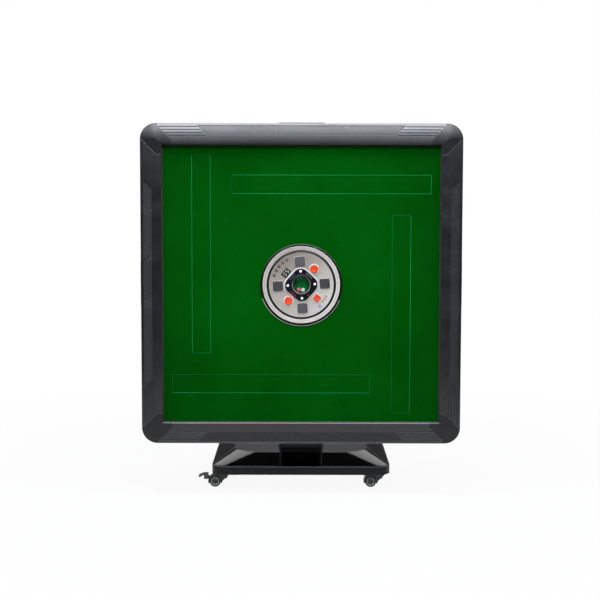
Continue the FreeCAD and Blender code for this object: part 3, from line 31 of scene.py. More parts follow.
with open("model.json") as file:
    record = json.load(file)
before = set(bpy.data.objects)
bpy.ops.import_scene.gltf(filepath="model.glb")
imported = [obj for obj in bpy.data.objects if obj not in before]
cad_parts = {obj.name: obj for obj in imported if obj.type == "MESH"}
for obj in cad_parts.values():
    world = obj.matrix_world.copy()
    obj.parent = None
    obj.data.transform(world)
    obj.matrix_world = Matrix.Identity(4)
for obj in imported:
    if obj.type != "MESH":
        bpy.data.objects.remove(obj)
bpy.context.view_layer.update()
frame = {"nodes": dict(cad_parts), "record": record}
NODES = frame["nodes"]
MM = 0.001
SIDES = ("top", "left", "bottom", "right")
CASTERS = ("front_left", "front_right", "rear_left", "rear_right")


# ---- frames ----
def middle(node):
    low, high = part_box(node)
    return (low + high) / 2


def turned(degrees, axis="Z"):
    return Matrix.Rotation(math.radians(degrees), 4, axis)


def millimetres(origin, turn=Matrix()):
    """A frame whose unit is the millimetre."""
    return Matrix.Translation(origin) @ turn @ Matrix.Scale(MM, 4)


STAND_UP = turned(90, "X")
FELT_LOW, FELT_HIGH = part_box("felt_cover")
TABLE_ORIGIN = Vector((0, FELT_LOW.y, (FELT_LOW.z + FELT_HIGH.z) / 2))
TABLE = millimetres(TABLE_ORIGIN, STAND_UP)
FLOOR = millimetres((0, 0, 0))
CONSOLE_TURN = 3.2
CONSOLE = TABLE @ turned(CONSOLE_TURN)


def linked(name, data):
    """A new object in the scene."""
    made = bpy.data.objects.new(name, data)
    bpy.context.scene.collection.objects.link(made)
    return made


def quarter(turns):
    return turned(90 * turns)


def at(x, y, z=0, turn=0):
    """A spot in a frame, turned about the frame's Z by an angle in degrees."""
    return Matrix.Translation((x, y, z)) @ turned(turn)


def polar(radius, degrees, z=0, turn=0):
    angle = math.radians(degrees)
    return at(radius * math.cos(angle), radius * math.sin(angle), z, turn)


# ---- shading graphs ----
class Graph:
    """The nodes of a material or a world; add() makes a node and sets or links its sockets."""

    def __init__(self, name, owners=bpy.data.materials, output="OutputMaterial", spot="Object"):
        self.owner = owners.new(name)
        self.owner.use_nodes = True
        self.tree = self.owner.node_tree
        self.tree.nodes.clear()
        self.output = self.add(output)
        self.spot = self.add("TexCoord").outputs[spot]

    def feed(self, socket, value):
        if isinstance(value, bpy.types.Node):
            value = value.outputs[0]
        if isinstance(value, bpy.types.NodeSocket):
            self.tree.links.new(value, socket)
        elif socket.type == "RGBA":
            socket.default_value = (*value[:3], 1)
        else:
            socket.default_value = value

    def add(self, kind, settings=None, values=(), **sockets):
        node = self.tree.nodes.new("ShaderNode" + kind)
        for name, value in (settings or {}).items():
            setattr(node, name, value)
        for socket, value in zip(node.inputs, values):
            if value is not None:
                self.feed(socket, value)
        for name, value in sockets.items():
            self.feed(node.inputs[name.replace("_", " ")], value)
        return node

    def noise(self, scale, detail=3, vector=None, roughness=0.55):
        return self.add("TexNoise", Vector=vector or self.spot, Scale=scale, Detail=detail,
                        Roughness=roughness).outputs["Fac"]

    def streaks(self, scale, detail, roughness=0.55):
        """Noise drawn out by a scale of its own along each axis."""
        stretched = self.add("Mapping", Vector=self.spot, Scale=scale)
        return self.noise(1, detail, stretched, roughness)

    def drift(self, scale, detail, low, high):
        """A value that wanders between low and high."""
        return self.spread(self.noise(scale, detail), low, high)

    def spread(self, value, low, high, start=0.3, end=0.7):
        """A value between start and end, taken to between low and high."""
        return self.add("MapRange", values=(value, start, end, low, high)).outputs["Result"]

    def math(self, operation, *values):
        return self.add("Math", {"operation": operation}, values).outputs[0]

    def vector(self, operation, *values):
        return self.add("VectorMath", {"operation": operation}, values).outputs

    def cells(self, scale, feature="F1", place=None):
        """Distance from the middles of scattered cells."""
        return self.add("TexVoronoi", {"feature": feature}, Vector=place or self.spot,
                        Scale=scale).outputs["Distance"]

    def mix(self, factor, first, second):
        values = (factor, *[None] * 5, first, second)
        return self.add("Mix", {"data_type": "RGBA"}, values).outputs[2]

    def shade(self, colour, amount):
        """A colour made darker or lighter by a factor."""
        return self.add("VectorMath", {"operation": "SCALE"}, (colour,), Scale=amount).outputs[0]

    def rounded(self, radius):
        """Normals as if each sharp edge had a small radius, in metres."""
        return self.add("Bevel", {"samples": 6}, Radius=radius).outputs["Normal"]

    def bump(self, height, depth, edge=None):
        """A bumpy normal, over edges rounded to a radius."""
        node = self.add("Bump", Height=height, Distance=depth, Strength=1)
        if edge:
            self.feed(node.inputs["Normal"], self.rounded(edge))
        return node.outputs["Normal"]

    def edges(self, radius):
        """1 on sharp edges and 0 on flat faces."""
        round_normal = self.rounded(radius)
        flat_normal = self.add("NewGeometry").outputs["Normal"]
        facing = self.vector("DOT_PRODUCT", round_normal, flat_normal)["Value"]
        return self.spread(facing, 1, 0, 0.86, 0.995)

    def finish(self, shader):
        self.feed(self.output.inputs["Surface"], shader)
        return self.owner

    def surface(self, **sockets):
        return self.finish(self.add("BsdfPrincipled", **sockets))


MICRON = 0.000001


def scaled(colour, share):
    return tuple(channel * share for channel in colour)


def rgb(colour):
    """A colour, where one number stands for a grey."""
    return colour if isinstance(colour, tuple) else (colour,) * 3


def moulded(name, colour, rough, grain=900, depth=50, edge=0.0008, **more):
    """Moulded plastic: soft tone drift, fine grain, rubbed edges and faint smears."""
    graph = Graph(name)
    colour = rgb(colour)
    drift = graph.drift(5, 4, 0.86, 1.16)
    tone = graph.shade(colour, drift)
    rubbed = graph.math("MULTIPLY", graph.edges(edge), graph.drift(160, 3, 0, 0.35))
    pale = tuple(min(1, channel * 1.7 + 0.035) for channel in colour)
    smear = graph.streaks((9, 9, 22), 5)
    grit = graph.noise(grain, 2)
    dips = graph.cells(grain * 0.55)
    height = graph.math("ADD", grit, graph.math("MULTIPLY", dips, 0.6))
    return graph.surface(
        Base_Color=graph.mix(rubbed, tone, pale),
        Roughness=graph.spread(smear, rough - 0.05, rough + 0.08),
        Normal=graph.bump(height, depth * MICRON, edge),
        **more,
    )


def polished(name, colour, rough, edge=0.0012, haze=0.05, **more):
    """Polished plastic: deep gloss with swirl marks, dust and a little waviness."""
    graph = Graph(name)
    drift = graph.drift(3, 3, 0.8, 1.25)
    dust = graph.spread(graph.noise(900, 2, roughness=0.8), 0, 1, 0.66, 0.78)
    film = graph.drift(7, 5, 0, 0.03)
    dusty = graph.math("MULTIPLY", dust, film)
    swirl = graph.streaks((60, 60, 420), 8, 0.7)
    waves = graph.noise(16, 1)
    return graph.surface(
        Base_Color=graph.mix(dusty, graph.shade(colour, drift), (0.45, 0.44, 0.42)),
        Roughness=graph.spread(swirl, rough, rough + haze),
        Normal=graph.bump(waves, 0.00006, edge),
        **more,
    )


def coated(name, colour, rough, peel=520, depth=50, edge=0.001):
    """Powder-coated steel: orange peel, rubbed edges, drift from dust."""
    graph = Graph(name)
    tone = graph.shade(colour, graph.drift(4, 5, 0.85, 1.2))
    worn = graph.math("MULTIPLY", graph.edges(edge), graph.drift(90, 4, 0, 0.6))
    cells = graph.cells(peel, "SMOOTH_F1")
    peel_height = graph.math("ADD", cells, graph.noise(peel * 2.3, 2))
    return graph.surface(
        Base_Color=graph.mix(worn, tone, (0.3, 0.3, 0.31)),
        Roughness=graph.drift(13, 4, rough - 0.04, rough + 0.1),
        Normal=graph.bump(peel_height, depth * MICRON, edge),
    )


def plated(name, colour, rough, stretch=(260, 260, 260), edge=0.0006, depth=0.00002,
           metal=1, **more):
    """Bare, plated or silver-painted metal with fine working marks and slight tarnish."""
    graph = Graph(name)
    marks = graph.streaks(stretch, 6, 0.65)
    tarnish = graph.drift(35, 4, 0, 0.35)
    return graph.surface(
        Base_Color=graph.mix(tarnish, colour, scaled(colour, 0.62)),
        Metallic=metal,
        Roughness=graph.spread(marks, rough - 0.05, rough + 0.12),
        Normal=graph.bump(marks, depth, edge),
        **more,
    )


def spun(name, colour, rough, centre, metal, shadow):
    """Metal brushed in circles round an axis along Y through a point, with painted shade that
    makes it darker to the upper left.
    """
    graph = Graph(name)
    offset = graph.vector("SUBTRACT", graph.spot, tuple(centre))["Vector"]
    flat = graph.vector("MULTIPLY", offset, (1, 0, 1))["Vector"]
    radius = graph.vector("LENGTH", flat)["Value"]
    rings, bands = (
        graph.add("TexNoise", {"noise_dimensions": "1D"}, W=radius, Scale=scale, Detail=detail)
        for scale, detail in ((2600, 3), (260, 2))
    )
    fine = graph.math("MULTIPLY", bands.outputs["Fac"], 0.5)
    both = graph.math("ADD", rings.outputs["Fac"], fine)
    smudge = graph.noise(26, 5)
    tone = graph.shade(colour, graph.spread(both, 0.94, 1.05, 0.5, 1))
    # Painted shade: the colour is mixed towards the shadow colour on the upper left.
    painted_shade_slant = graph.vector("DOT_PRODUCT", flat, (-0.6, 0, 0.8))["Value"]
    tone = graph.mix(graph.spread(painted_shade_slant, 0, 1, -0.08, 0.08), tone, shadow)
    tangent = graph.add("Tangent", {"direction_type": "RADIAL", "axis": "Y"})
    return graph.surface(
        Base_Color=graph.mix(graph.spread(smudge, 0, 0.16), tone, scaled(colour, 0.8)),
        Metallic=metal,
        Anisotropic=0.4,
        Roughness=graph.spread(smudge, rough - 0.03, rough + 0.05),
        Tangent=tangent,
        Normal=graph.bump(both, 0.000004, 0.0004),
    )


def baize(name, colour, deep, shift=0):
    """Short-napped green baize: woven ground, brushed nap, lint and slow tone drift, with painted
    shade darker away from the middle of the table.
    """
    graph = Graph(name)
    place = graph.vector("ADD", graph.spot, (shift, shift, 0))["Vector"]
    cloud = graph.noise(3.2, 5, place)
    nap = graph.noise(420, 4, place, 0.75)
    fibre = graph.streaks((900, 900, 2600), 3, 0.7)
    weave = [
        graph.add("TexWave", {"bands_direction": axis}, Vector=place, Scale=340,
                  Distortion=1.2, Detail=2).outputs["Fac"]
        for axis in "XZ"
    ]
    ground = graph.math("MULTIPLY", *weave)
    tone = graph.mix(graph.spread(cloud, 0, 1), deep, colour)
    tone = graph.mix(graph.spread(nap, 0, 0.42), tone, scaled(deep, 0.45))
    tone = graph.mix(graph.spread(fibre, 0, 0.2, 0.55, 0.75), tone, scaled(colour, 1.9))
    lint = graph.spread(graph.cells(26, place=place), 0.35, 0, 0.014, 0.04)
    tone = graph.mix(lint, tone, (0.16, 0.3, 0.2))
    # Painted shade: darker away from the middle of the table, towards the rails.
    painted_shade_distance = graph.vector("DISTANCE", graph.spot, tuple(TABLE_ORIGIN))["Value"]
    tone = graph.shade(tone, graph.spread(painted_shade_distance, 1.05, 0.72, 0.22, 0.6))
    fuzz = graph.math("ADD", graph.math("MULTIPLY", ground, 0.5), graph.math("ADD", nap, fibre))
    return graph.surface(
        Base_Color=tone,
        Roughness=graph.spread(nap, 0.86, 1),
        Normal=graph.bump(fuzz, 0.00022),
        Specular_IOR_Level=0.02,
    )


def plywood(name):
    """Raw plywood with its plies stacked through the thickness, along Y."""
    graph = Graph(name)
    plies = graph.add("TexWave", {"bands_direction": "Y"}, Vector=graph.spot, Scale=110,
                      Distortion=0.4, Detail=2)
    grain = graph.streaks((6, 60, 160), 6, 0.6)
    tone = graph.mix(plies.outputs["Fac"], (0.34, 0.2, 0.1), (0.56, 0.4, 0.24))
    return graph.surface(
        Base_Color=graph.mix(graph.spread(grain, 0, 0.5), tone, (0.24, 0.14, 0.07)),
        Roughness=graph.spread(grain, 0.6, 0.8),
        Normal=graph.bump(grain, 0.0001),
    )


def circuit_board(name):
    """Green solder mask over raised copper traces."""
    graph = Graph(name)
    tracks = graph.add("TexBrick", {"offset": 0.37}, Vector=graph.spot, Scale=55,
                       Mortar_Size=0.03, Color1=(0.01, 0.1, 0.035), Color2=(0.008, 0.075, 0.03),
                       Mortar=(0.03, 0.22, 0.08))
    speckle = graph.noise(300, 3)
    return graph.surface(
        Base_Color=graph.mix(graph.spread(speckle, 0, 0.25), tracks, (0.01, 0.05, 0.02)),
        Roughness=graph.spread(speckle, 0.22, 0.4),
        Normal=graph.bump(tracks.outputs["Fac"], 0.0001, 0.0003),
    )


def clear_plastic(name):
    """Clear acrylic with faint waviness."""
    graph = Graph(name)
    waves = graph.noise(120, 2)
    return graph.surface(
        Base_Color=(0.02, 0.03, 0.03),
        Roughness=graph.spread(waves, 0.02, 0.05),
        Normal=graph.bump(waves, 0.00001),
        IOR=1.46,
        Specular_IOR_Level=0.12,
        Alpha=0.045,
    )


def lamp(name, colour, glow):
    """A small lens lit from behind, brighter in patches."""
    graph = Graph(name)
    cloud = graph.drift(700, 2, 0.75, 1.2)
    return graph.surface(
        Base_Color=graph.shade(colour, cloud),
        Roughness=graph.drift(300, 3, 0.2, 0.35),
        Emission_Color=graph.shade(colour, cloud),
        Emission_Strength=glow,
        Coat_Weight=0.4,
    )


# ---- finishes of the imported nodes, and of the trims drawn here ----
def by_name(*materials):
    """Materials by name, without the number that Blender adds to a name already taken."""
    return {material.name.split(".")[0]: material for material in materials}


FINISHES = by_name(
    moulded("rail_plastic", (0.009, 0.009, 0.0105), 0.2, 1100, 20, 0.001,
            Specular_IOR_Level=0.62),
    moulded("inlay_plastic", (0.0015, 0.0015, 0.0018), 0.5, 900, 60, 0.0005),
    plywood("board"),
    baize("felt", (0, 0.105, 0.0035), (0, 0.07, 0.0015)),
    moulded("box_plastic", (0.02, 0.02, 0.022), 0.48, 800, 90, 0.0012),
    coated("cover_steel", (0.03, 0.03, 0.033), 0.42),
    coated("frame_steel", (0.035, 0.035, 0.038), 0.5),
    moulded("drawer_plastic", (0.045, 0.045, 0.05), 0.38, 900, 60),
    moulded("runner_plastic", (0.42, 0.42, 0.41), 0.4, 700, 30),
    plated("motor_case", (0.3, 0.3, 0.32), 0.4, (180, 40, 180)),
    moulded("drum_plastic", (0.09, 0.09, 0.1), 0.33, 600, 40, 0.0015),
    moulded("drive_rubber", 0.018, 0.78, 900, 100),
    circuit_board("circuit"),
    plated("supply_case", (0.72, 0.72, 0.73), 0.34, (30, 30, 900)),
    moulded("inlet_plastic", (0.015, 0.015, 0.016), 0.3, 700, 30, 0.0008),
    polished("rocker_plastic", (0.5, 0.012, 0.01), 0.14, 0.0008),
    polished("collar_plastic", (0.0025, 0.0025, 0.003), 0.12, haze=0.04),
    polished("console_black", (0.006, 0.007, 0.012), 0.05),
    # The last colour of a spun finish is its painted shade.
    spun("panel_metal", (0.6, 0.565, 0.525), 0.36, TABLE_ORIGIN, 0.3, (0.25, 0.21, 0.18)),
    clear_plastic("dome_clear"),
    moulded("dice_plate_green", (0, 0.26, 0.04), 0.5, 700, Specular_IOR_Level=0.06),
    moulded("button_grey", (0.022, 0.022, 0.025), 0.4, 1600, 50, 0.0007),
    polished("button_red", (0.86, 0.065, 0.012), 0.2, 0.001),
    polished("base_gloss", (0.0009, 0.0009, 0.001), 0.07, 0.004, 0.06),
    moulded("skirt_plastic", (0.004, 0.004, 0.0045), 0.36, Specular_IOR_Level=0.2),
    plated("zinc_steel", (0.66, 0.66, 0.68), 0.24),
    moulded("knob_plastic", (0.018, 0.018, 0.019), 0.4, 900, 80, 0.0015),
    moulded("caster_plastic", (0.012, 0.012, 0.013), 0.3, 900, 40),
    moulded("caster_tyre", 0.014, 0.5, 800, 100),
    moulded("lever_plastic", (0.09, 0.09, 0.092), 0.42, 800, 60),
)
TRIMS = by_name(
    # Pale copies of the baize for the slot edges: painted highlight, fainter in the second.
    baize("felt_edge_painted_highlight", (0.012, 0.37, 0.1), (0.004, 0.24, 0.06), 0.7),
    moulded("rib_plastic", (0.011, 0.011, 0.013), 0.24, 900, 20, 0.0003,
            Specular_IOR_Level=0.62),
    baize("felt_edge_faint_highlight", (0.004, 0.2, 0.05), (0, 0.13, 0.03), 0.7),
    # Near-black finish for painted shade: groove bottoms, inner faces of the top and side rails,
    # and the rails' shadow round the felt.
    moulded("groove_black", (0.0012, 0.0012, 0.0014), 0.85, 500, 50, 0.0002),
    # Pale finish for painted highlights along the bottom rail.
    moulded("edge_trim", (0.15, 0.165, 0.17), 0.3, 900, 20, 0.0003),
    # Paler copy of the seat-button grey for the top and bottom buttons: painted reflection.
    moulded("button_pale", (0.07, 0.069, 0.078), 0.38, 1600, 50, 0.0007),
    # Silver hubs made nearly white and hardly metallic, so they stay bright in the base's shadow:
    # partly painted highlight.
    plated("hub_silver_painted_highlight", (0.92, 0.92, 0.93), 0.22, metal=0.05),
    baize("liner_felt", (0.03, 0.032, 0.036), (0.018, 0.018, 0.021), 0.4),
    # The last colour of a spun finish is its painted shade.
    spun("silver_ring", (0.68, 0.65, 0.61), 0.34, TABLE_ORIGIN, 0.4, (0.5, 0.46, 0.42)),
    polished("white_gloss", (0.82, 0.82, 0.8), 0.16, 0.0005),
    moulded("mark_black", 0.01, 0.5, 900, 10, 0.0002),
    moulded("mark_grey", (0.16, 0.15, 0.15), 0.5, 900, 10, 0.0002),
    moulded("mark_blue", (0.16, 0.16, 0.5), 0.4, 900, 10, 0.0002),
    polished("display_glass", (0.004, 0.005, 0.004), 0.08, 0.0004),
    lamp("segment", (0.62, 0.75, 0.66), 0.25),
    lamp("lamp_white", (1, 1, 1), 0.35),
    lamp("lamp_blue", (0.05, 0.12, 0.24), 0.1),
    lamp("lamp_pale", (0.24, 0.25, 0.28), 0.1),
    lamp("lamp_red", (0.5, 0.03, 0.03), 0.15),
    moulded("cap_plastic", (0.009, 0.009, 0.0105), 0.2, 1100, 20, 0.001,
            Specular_IOR_Level=0.33),
    # The dice glow a little: painted light that keeps them bright in the shaded dice well.
    polished("die_white", (0.95, 0.96, 0.97), 0.15, 0.0008, Emission_Color=(0.9, 0.95, 1, 1),
             Emission_Strength=0.3),
    polished("die_red", (0.9, 0.14, 0.13), 0.15, 0.0008, Emission_Color=(1, 0.35, 0.35, 1),
             Emission_Strength=0.2),
    polished("pip_blue", (0.02, 0.05, 0.35), 0.2, 0.0003),
    polished("pip_white", (0.8, 0.82, 0.85), 0.2, 0.0003),
    plated("chrome", (0.82, 0.82, 0.84), 0.12),
    plated("screw_black", (0.12, 0.12, 0.125), 0.35),
    moulded("rubber", 0.016, 0.7, 500, 100, 0.002),
    moulded("shadow_plastic", 0.006, 0.6, 500, 100),
    plated("brass", (0.72, 0.52, 0.24), 0.25),
)

for part in frame["record"]["subparts"]:
    packed = NODES[part["node"]]
    packed.data.materials.clear()
    packed.data.materials.append(FINISHES[part["material_slot"]])
# The top and bottom seat buttons take the paler copy of their grey: painted reflection.
for side in ("top", "bottom"):
    NODES[f"seat_button_{side}"].data.materials[0] = TRIMS["button_pale"]
NODES["corner_caps"].data.materials[0] = TRIMS["cap_plastic"]


# ---- outlines and solids, in millimetres ----
def circle(radius, z, steps=48):
    turn = 2 * math.pi / steps
    return [(radius * math.cos(n * turn), radius * math.sin(n * turn), z) for n in range(steps)]


def round_box(half_x, half_y, radius, z, steps=5):
    """A rectangle with round corners, as a loop of points."""
    radius = min(radius, half_x, half_y)
    points = []
    for number, (sign_x, sign_y) in enumerate(((1, 1), (-1, 1), (-1, -1), (1, -1))):
        for step in range(steps + 1):
            angle = (number + step / steps) * math.pi / 2
            points.append((
                sign_x * (half_x - radius) + radius * math.cos(angle),
                sign_y * (half_y - radius) + radius * math.sin(angle),
                z,
            ))
    return points


def polygon(sides, radius, z, steps=8):
    """A regular polygon with extra points along each side."""
    corners = [Vector(corner) for corner in circle(radius, z, sides)]
    following = corners[1:] + corners[:1]
    return [tuple(a.lerp(b, n / steps)) for a, b in zip(corners, following) for n in range(steps)]


SHARP_FROM = math.radians(32)


class Solid:
    """A mesh put together from stacks of loops; each stack has its own finish number."""

    def __init__(self):
        self.mesh = bmesh.new()

    def stack(self, loops, place=Matrix(), ring=False, finish=0):
        """Joins loops of equal length one to the next, then caps the ends or closes the ring."""
        rows = [[self.mesh.verts.new(place @ Vector(point)) for point in loop] for loop in loops]
        pairs = list(zip(rows, rows[1:] + rows[:1])) if ring else list(zip(rows, rows[1:]))
        faces = []
        for low, high in pairs:
            for n in range(len(low)):
                after = (n + 1) % len(low)
                faces.append(self.mesh.faces.new((low[n], low[after], high[after], high[n])))
        if not ring:
            faces += [self.mesh.faces.new(rows[0][::-1]), self.mesh.faces.new(rows[-1])]
        for face in faces:
            face.material_index = finish
            face.smooth = True

    def lathe(self, levels, place=Matrix(), finish=0, steps=48):
        """A capped round shape, from its radii and heights."""
        self.stack([circle(radius, z, steps) for radius, z in levels], place, finish=finish)

    def profile(self, levels, half_x, half_y, radius, z, place=Matrix(), ring=False, finish=0,
                steps=5):
        """Round boxes that grow and rise along a profile."""
        loops = [round_box(half_x + grow, half_y + grow, radius + grow, z + rise, steps)
                 for grow, rise in levels]
        self.stack(loops, place, ring, finish)

    def disc(self, radius, low, high, chamfer=0.3, place=Matrix(), finish=0, steps=40):
        """A round plate with a chamfered top edge."""
        levels = [(radius, low), (radius, high - chamfer),
                  (radius - chamfer * 0.3, high - chamfer * 0.3), (radius - chamfer, high)]
        self.lathe(levels, place, finish, steps)

    def slab(self, half_x, half_y, low, high, radius=1, chamfer=0.3, place=Matrix(), finish=0):
        """A plate with round corners and a chamfered top edge."""
        steps = [(0, low), (0, high - chamfer), (0.3, high - 0.3 * chamfer), (1, high)]
        loops = [
            round_box(half_x - share * chamfer, half_y - share * chamfer, radius, z)
            for share, z in steps
        ]
        self.stack(loops, place, finish=finish)

    def band(self, outer, inner, low, high, chamfer=0.3, place=Matrix(), finish=0, steps=96):
        """A flat round ring with chamfered top edges."""
        levels = [(outer, low), (outer, high - chamfer), (outer - chamfer, high),
                  (inner + chamfer, high), (inner, high - chamfer), (inner, low)]
        self.stack([circle(radius, z, steps) for radius, z in levels], place, True, finish)

    def frame(self, half_x, half_y, width, low, high, radius=1, chamfer=0.2, place=Matrix(),
              finish=0):
        """A picture-frame ring: its inner outline is half_x by half_y, width is added outside."""
        levels = [(width, low), (width, high - chamfer), (width - chamfer, high),
                  (chamfer, high), (0, high - chamfer), (0, low)]
        self.profile(levels, half_x, half_y, radius, 0, place, True, finish)

    def screw(self, radius, place=Matrix(), finish=0):
        """A pan-head screw with a hexagonal socket, its seat at Z = 0."""
        head = ((1, 0), (1, 0.25), (0.9, 0.48), (0.62, 0.62))
        loops = [circle(radius * reach, radius * rise) for reach, rise in head]
        loops += [polygon(6, radius * 0.5, radius * 0.62), polygon(6, radius * 0.46, radius * 0.2)]
        self.stack(loops, place, finish=finish)

    def bolt(self, radius, high, place=Matrix(), finish=0):
        """A hexagon bolt head on a washer, its seat at Z = 0."""
        washer = high * 0.2
        loops = [circle(radius * 1.25, 0), circle(radius * 1.25, washer)]
        levels = ((1, washer), (1, high * 0.92), (0.86, high))
        loops += [polygon(6, radius * reach, z) for reach, z in levels]
        self.stack(loops, place, finish=finish)

    def piece(self, name, body, frame_matrix, finishes):
        """Turns the solid into an object that rides on a body."""
        self.mesh.transform(frame_matrix)
        bmesh.ops.recalc_face_normals(self.mesh, faces=self.mesh.faces)
        data = bpy.data.meshes.new(name)
        self.mesh.to_mesh(data)
        self.mesh.free()
        made = linked(name, data)
        for finish in [finishes] if isinstance(finishes, str) else finishes:
            data.materials.append(TRIMS.get(finish) or FINISHES[finish])
        data.set_sharp_from_angle(angle=SHARP_FROM)
        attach(made, body)

    def on_table(self, name, finishes):
        self.piece(name, "machine", TABLE, finishes)

    def on_console(self, name, finishes):
        self.piece(name, "console", CONSOLE, finishes)


# ---- rails and playing surface ----
RAILS = ("bottom", "right", "top", "left")
HALF_FRAME = 485
CROWN_AT = 61
CROWN_HIGH = 14
OUTER_DROP = 12
OUTER_ARC = (CROWN_AT ** 2 + OUTER_DROP ** 2) / (2 * OUTER_DROP)
STRIP_NEAR = 7
STRIP_FAR = 35
STRIP_START = 172
STRIP_RECESS = 1.2
STRIP_HALF = HALF_FRAME - STRIP_START
SUNK = 0.2
RIB_PITCH = 7.2
RIB_HALF = 1.9
RIB_CREST = RIB_HALF * 0.75
RIB_HIGH = 0.9
RIB_MARGIN = 1.2
RIB_STEPS = 7
CAP_START = 50
FINS = 4
FIN_FIRST = 10.6
FIN_PITCH = 8.9
FIN_DEEP = 1.4


def crown(u):
    """Height of the rail above the felt at a distance from its outer edge."""
    return CROWN_HIGH - OUTER_ARC + math.sqrt(OUTER_ARC ** 2 - (CROWN_AT - u) ** 2)


def rib(solid, place, start, lean):
    """One slanted rib of the patterned strip, cut off at the strip's slanted ends."""
    tries = RIB_STEPS * 4
    inside = []
    for n in range(tries + 1):
        u = STRIP_NEAR + RIB_MARGIN + n * (STRIP_FAR - STRIP_NEAR - 2 * RIB_MARGIN) / tries
        along = start + lean * (u - (STRIP_NEAR + STRIP_FAR) / 2)
        if abs(along) + RIB_HALF < STRIP_HALF - (u - STRIP_NEAR) - RIB_MARGIN:
            inside.append((along, u))
    if len(inside) < 4:
        return
    first, last = inside[0], inside[-1]
    loops = []
    for n in range(RIB_STEPS + 1):
        share = n / RIB_STEPS
        along = first[0] + share * (last[0] - first[0])
        u = first[1] + share * (last[1] - first[1])
        seat = crown(u) - STRIP_RECESS - SUNK
        top = seat + SUNK + RIB_HIGH
        y = u - HALF_FRAME
        loops.append([
            (along - RIB_HALF, y, seat), (along + RIB_HALF, y, seat),
            (along + RIB_CREST, y, top), (along - RIB_CREST, y, top),
        ])
    solid.stack(loops, place)


def strip_ribs():
    """The fine diagonal ribs of each rail's patterned strip, leaning both ways in turn."""
    for turns, side in enumerate(RAILS):
        solid = Solid()
        start = -STRIP_HALF
        while start < STRIP_HALF:
            rib(solid, quarter(turns), start, 1 if turns % 2 else -1)
            start += RIB_PITCH
        solid.on_table(f"strip_ribs_{side}", "rib_plastic")


def groove_shade_strips():
    """Black strips in the bottoms of the long grooves beyond each end of the patterned strips:
    painted shade.
    """
    for turns, side in enumerate(RAILS):
        solid = Solid()
        for end in (-1, 1):
            for n in range(FINS):
                u = FIN_FIRST + n * FIN_PITCH
                far = HALF_FRAME - CAP_START - max(0, u - STRIP_NEAR) - 3
                near = HALF_FRAME - STRIP_START - (u - STRIP_NEAR) + 4.5
                seat = crown(u) - FIN_DEEP
                place = quarter(turns) @ at(end * (near + far) / 2, u - HALF_FRAME)
                solid.slab((far - near) / 2, 0.92, seat - 0.1, seat + 0.5, 0.4, 0.1, place)
        solid.on_table(f"groove_painted_shade_{side}", "groove_black")


# Sides of each slot whose edge gets the paler felt: painted highlight where light catches the
# edge.
PAINTED_HIGHLIGHT_EDGES = {"top": "top bottom right", "left": "left right", "bottom": "bottom",
                     "right": "right"}
SLOT_EDGE = 0.85
TRIM_HALF = 0.4
SHADOW_STRIP_WIDE = 3.4


def felt_trims():
    """A pressed felt edge round each tile-lift slot with a painted highlight on some sides; inside
    the rails, painted highlights on the bottom rail and painted shade on the others; and a black
    strip round the felt as the rails' painted shadow.
    """
    for side in SIDES:
        low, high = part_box(f"tile_lift_{side}")
        half_x = (high.x - low.x) / 2 / MM + 0.5
        half_y = (high.z - low.z) / 2 / MM + 0.5
        spot = TABLE.inverted() @ middle(f"tile_lift_{side}")
        place = at(spot.x, spot.y)
        wide, long = SLOT_EDGE, half_x + 2 * SLOT_EDGE
        edges = {"top": (0, half_y + wide, long, wide), "right": (half_x + wide, 0, wide, half_y),
                 "bottom": (0, -half_y - wide, long, wide),
                 "left": (-half_x - wide, 0, wide, half_y)}
        solid = Solid()
        for edge, (x, y, half_long, half_wide) in edges.items():
            # Bright sides take the paler felt, the rest the fainter one: painted highlight.
            faint = 0 if edge in PAINTED_HIGHLIGHT_EDGES[side].split() else 1
            solid.slab(half_long, half_wide, -0.3, 0.45, 0.3, 0.35, place @ at(x, y), faint)
        solid.on_table(f"slot_edge_{side}", ["felt_edge_painted_highlight", "felt_edge_faint_highlight"])
    rail_low, rail_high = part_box("rail_top")
    inner = HALF_FRAME - (rail_high.z - rail_low.z) / MM
    trim = Solid()
    # Inner faces of the rails: pale on the bottom rail as painted highlight, near-black on the
    # others as painted shade.
    for turns, finish in enumerate((0, 1, 1, 1)):
        place = quarter(turns) @ at(0, TRIM_HALF - inner)
        half_long = inner - 2 * TRIM_HALF * (turns % 2)
        trim.slab(half_long, TRIM_HALF, 1.6, 12.6, 0.2, 0.3, place, finish)
    trim.on_table("rail_inner_painted_light", ["edge_trim", "groove_black"])
    # A pale line along the bottom rail's outer edge: painted highlight.
    painted_highlight = Solid()
    painted_highlight.slab(HALF_FRAME - CAP_START, 0.5, 1, 2.6, 0.3, 0.4, at(0, 0.45 - HALF_FRAME))
    painted_highlight.on_table("rail_edge_painted_highlight", "edge_trim")
    # A black strip round the felt, inside the rails: the rails' painted shadow.
    shadow_strip = Solid()
    half = inner - 0.4 - SHADOW_STRIP_WIDE
    shadow_strip.frame(half, half, SHADOW_STRIP_WIDE, -SUNK, 1, 0.5, 0.9)
    shadow_strip.on_table("felt_painted_shadow", "groove_black")


# ---- console ----
COLLAR_TOP = 3
PANEL_TOP = 5
BEZEL_TOP = 8.5
BEZEL_HALF = 49
BEZEL_CORNER = 25
DICE_FLOOR = -16.7
WELL_OUTER, WELL_INNER, WELL_TOP = 23.9, 23.2, 4.5
HIGHLIGHT_RADIUS, HIGHLIGHT_FROM, HIGHLIGHT_STEP, HIGHLIGHT_STEPS = 124.6, 200, 2.3, 60
LAMP_RADIUS, LAMP_HIGH = 3.6, 1.1
DIE_HALF = 4.8
BUTTON_HIGH = 2.6


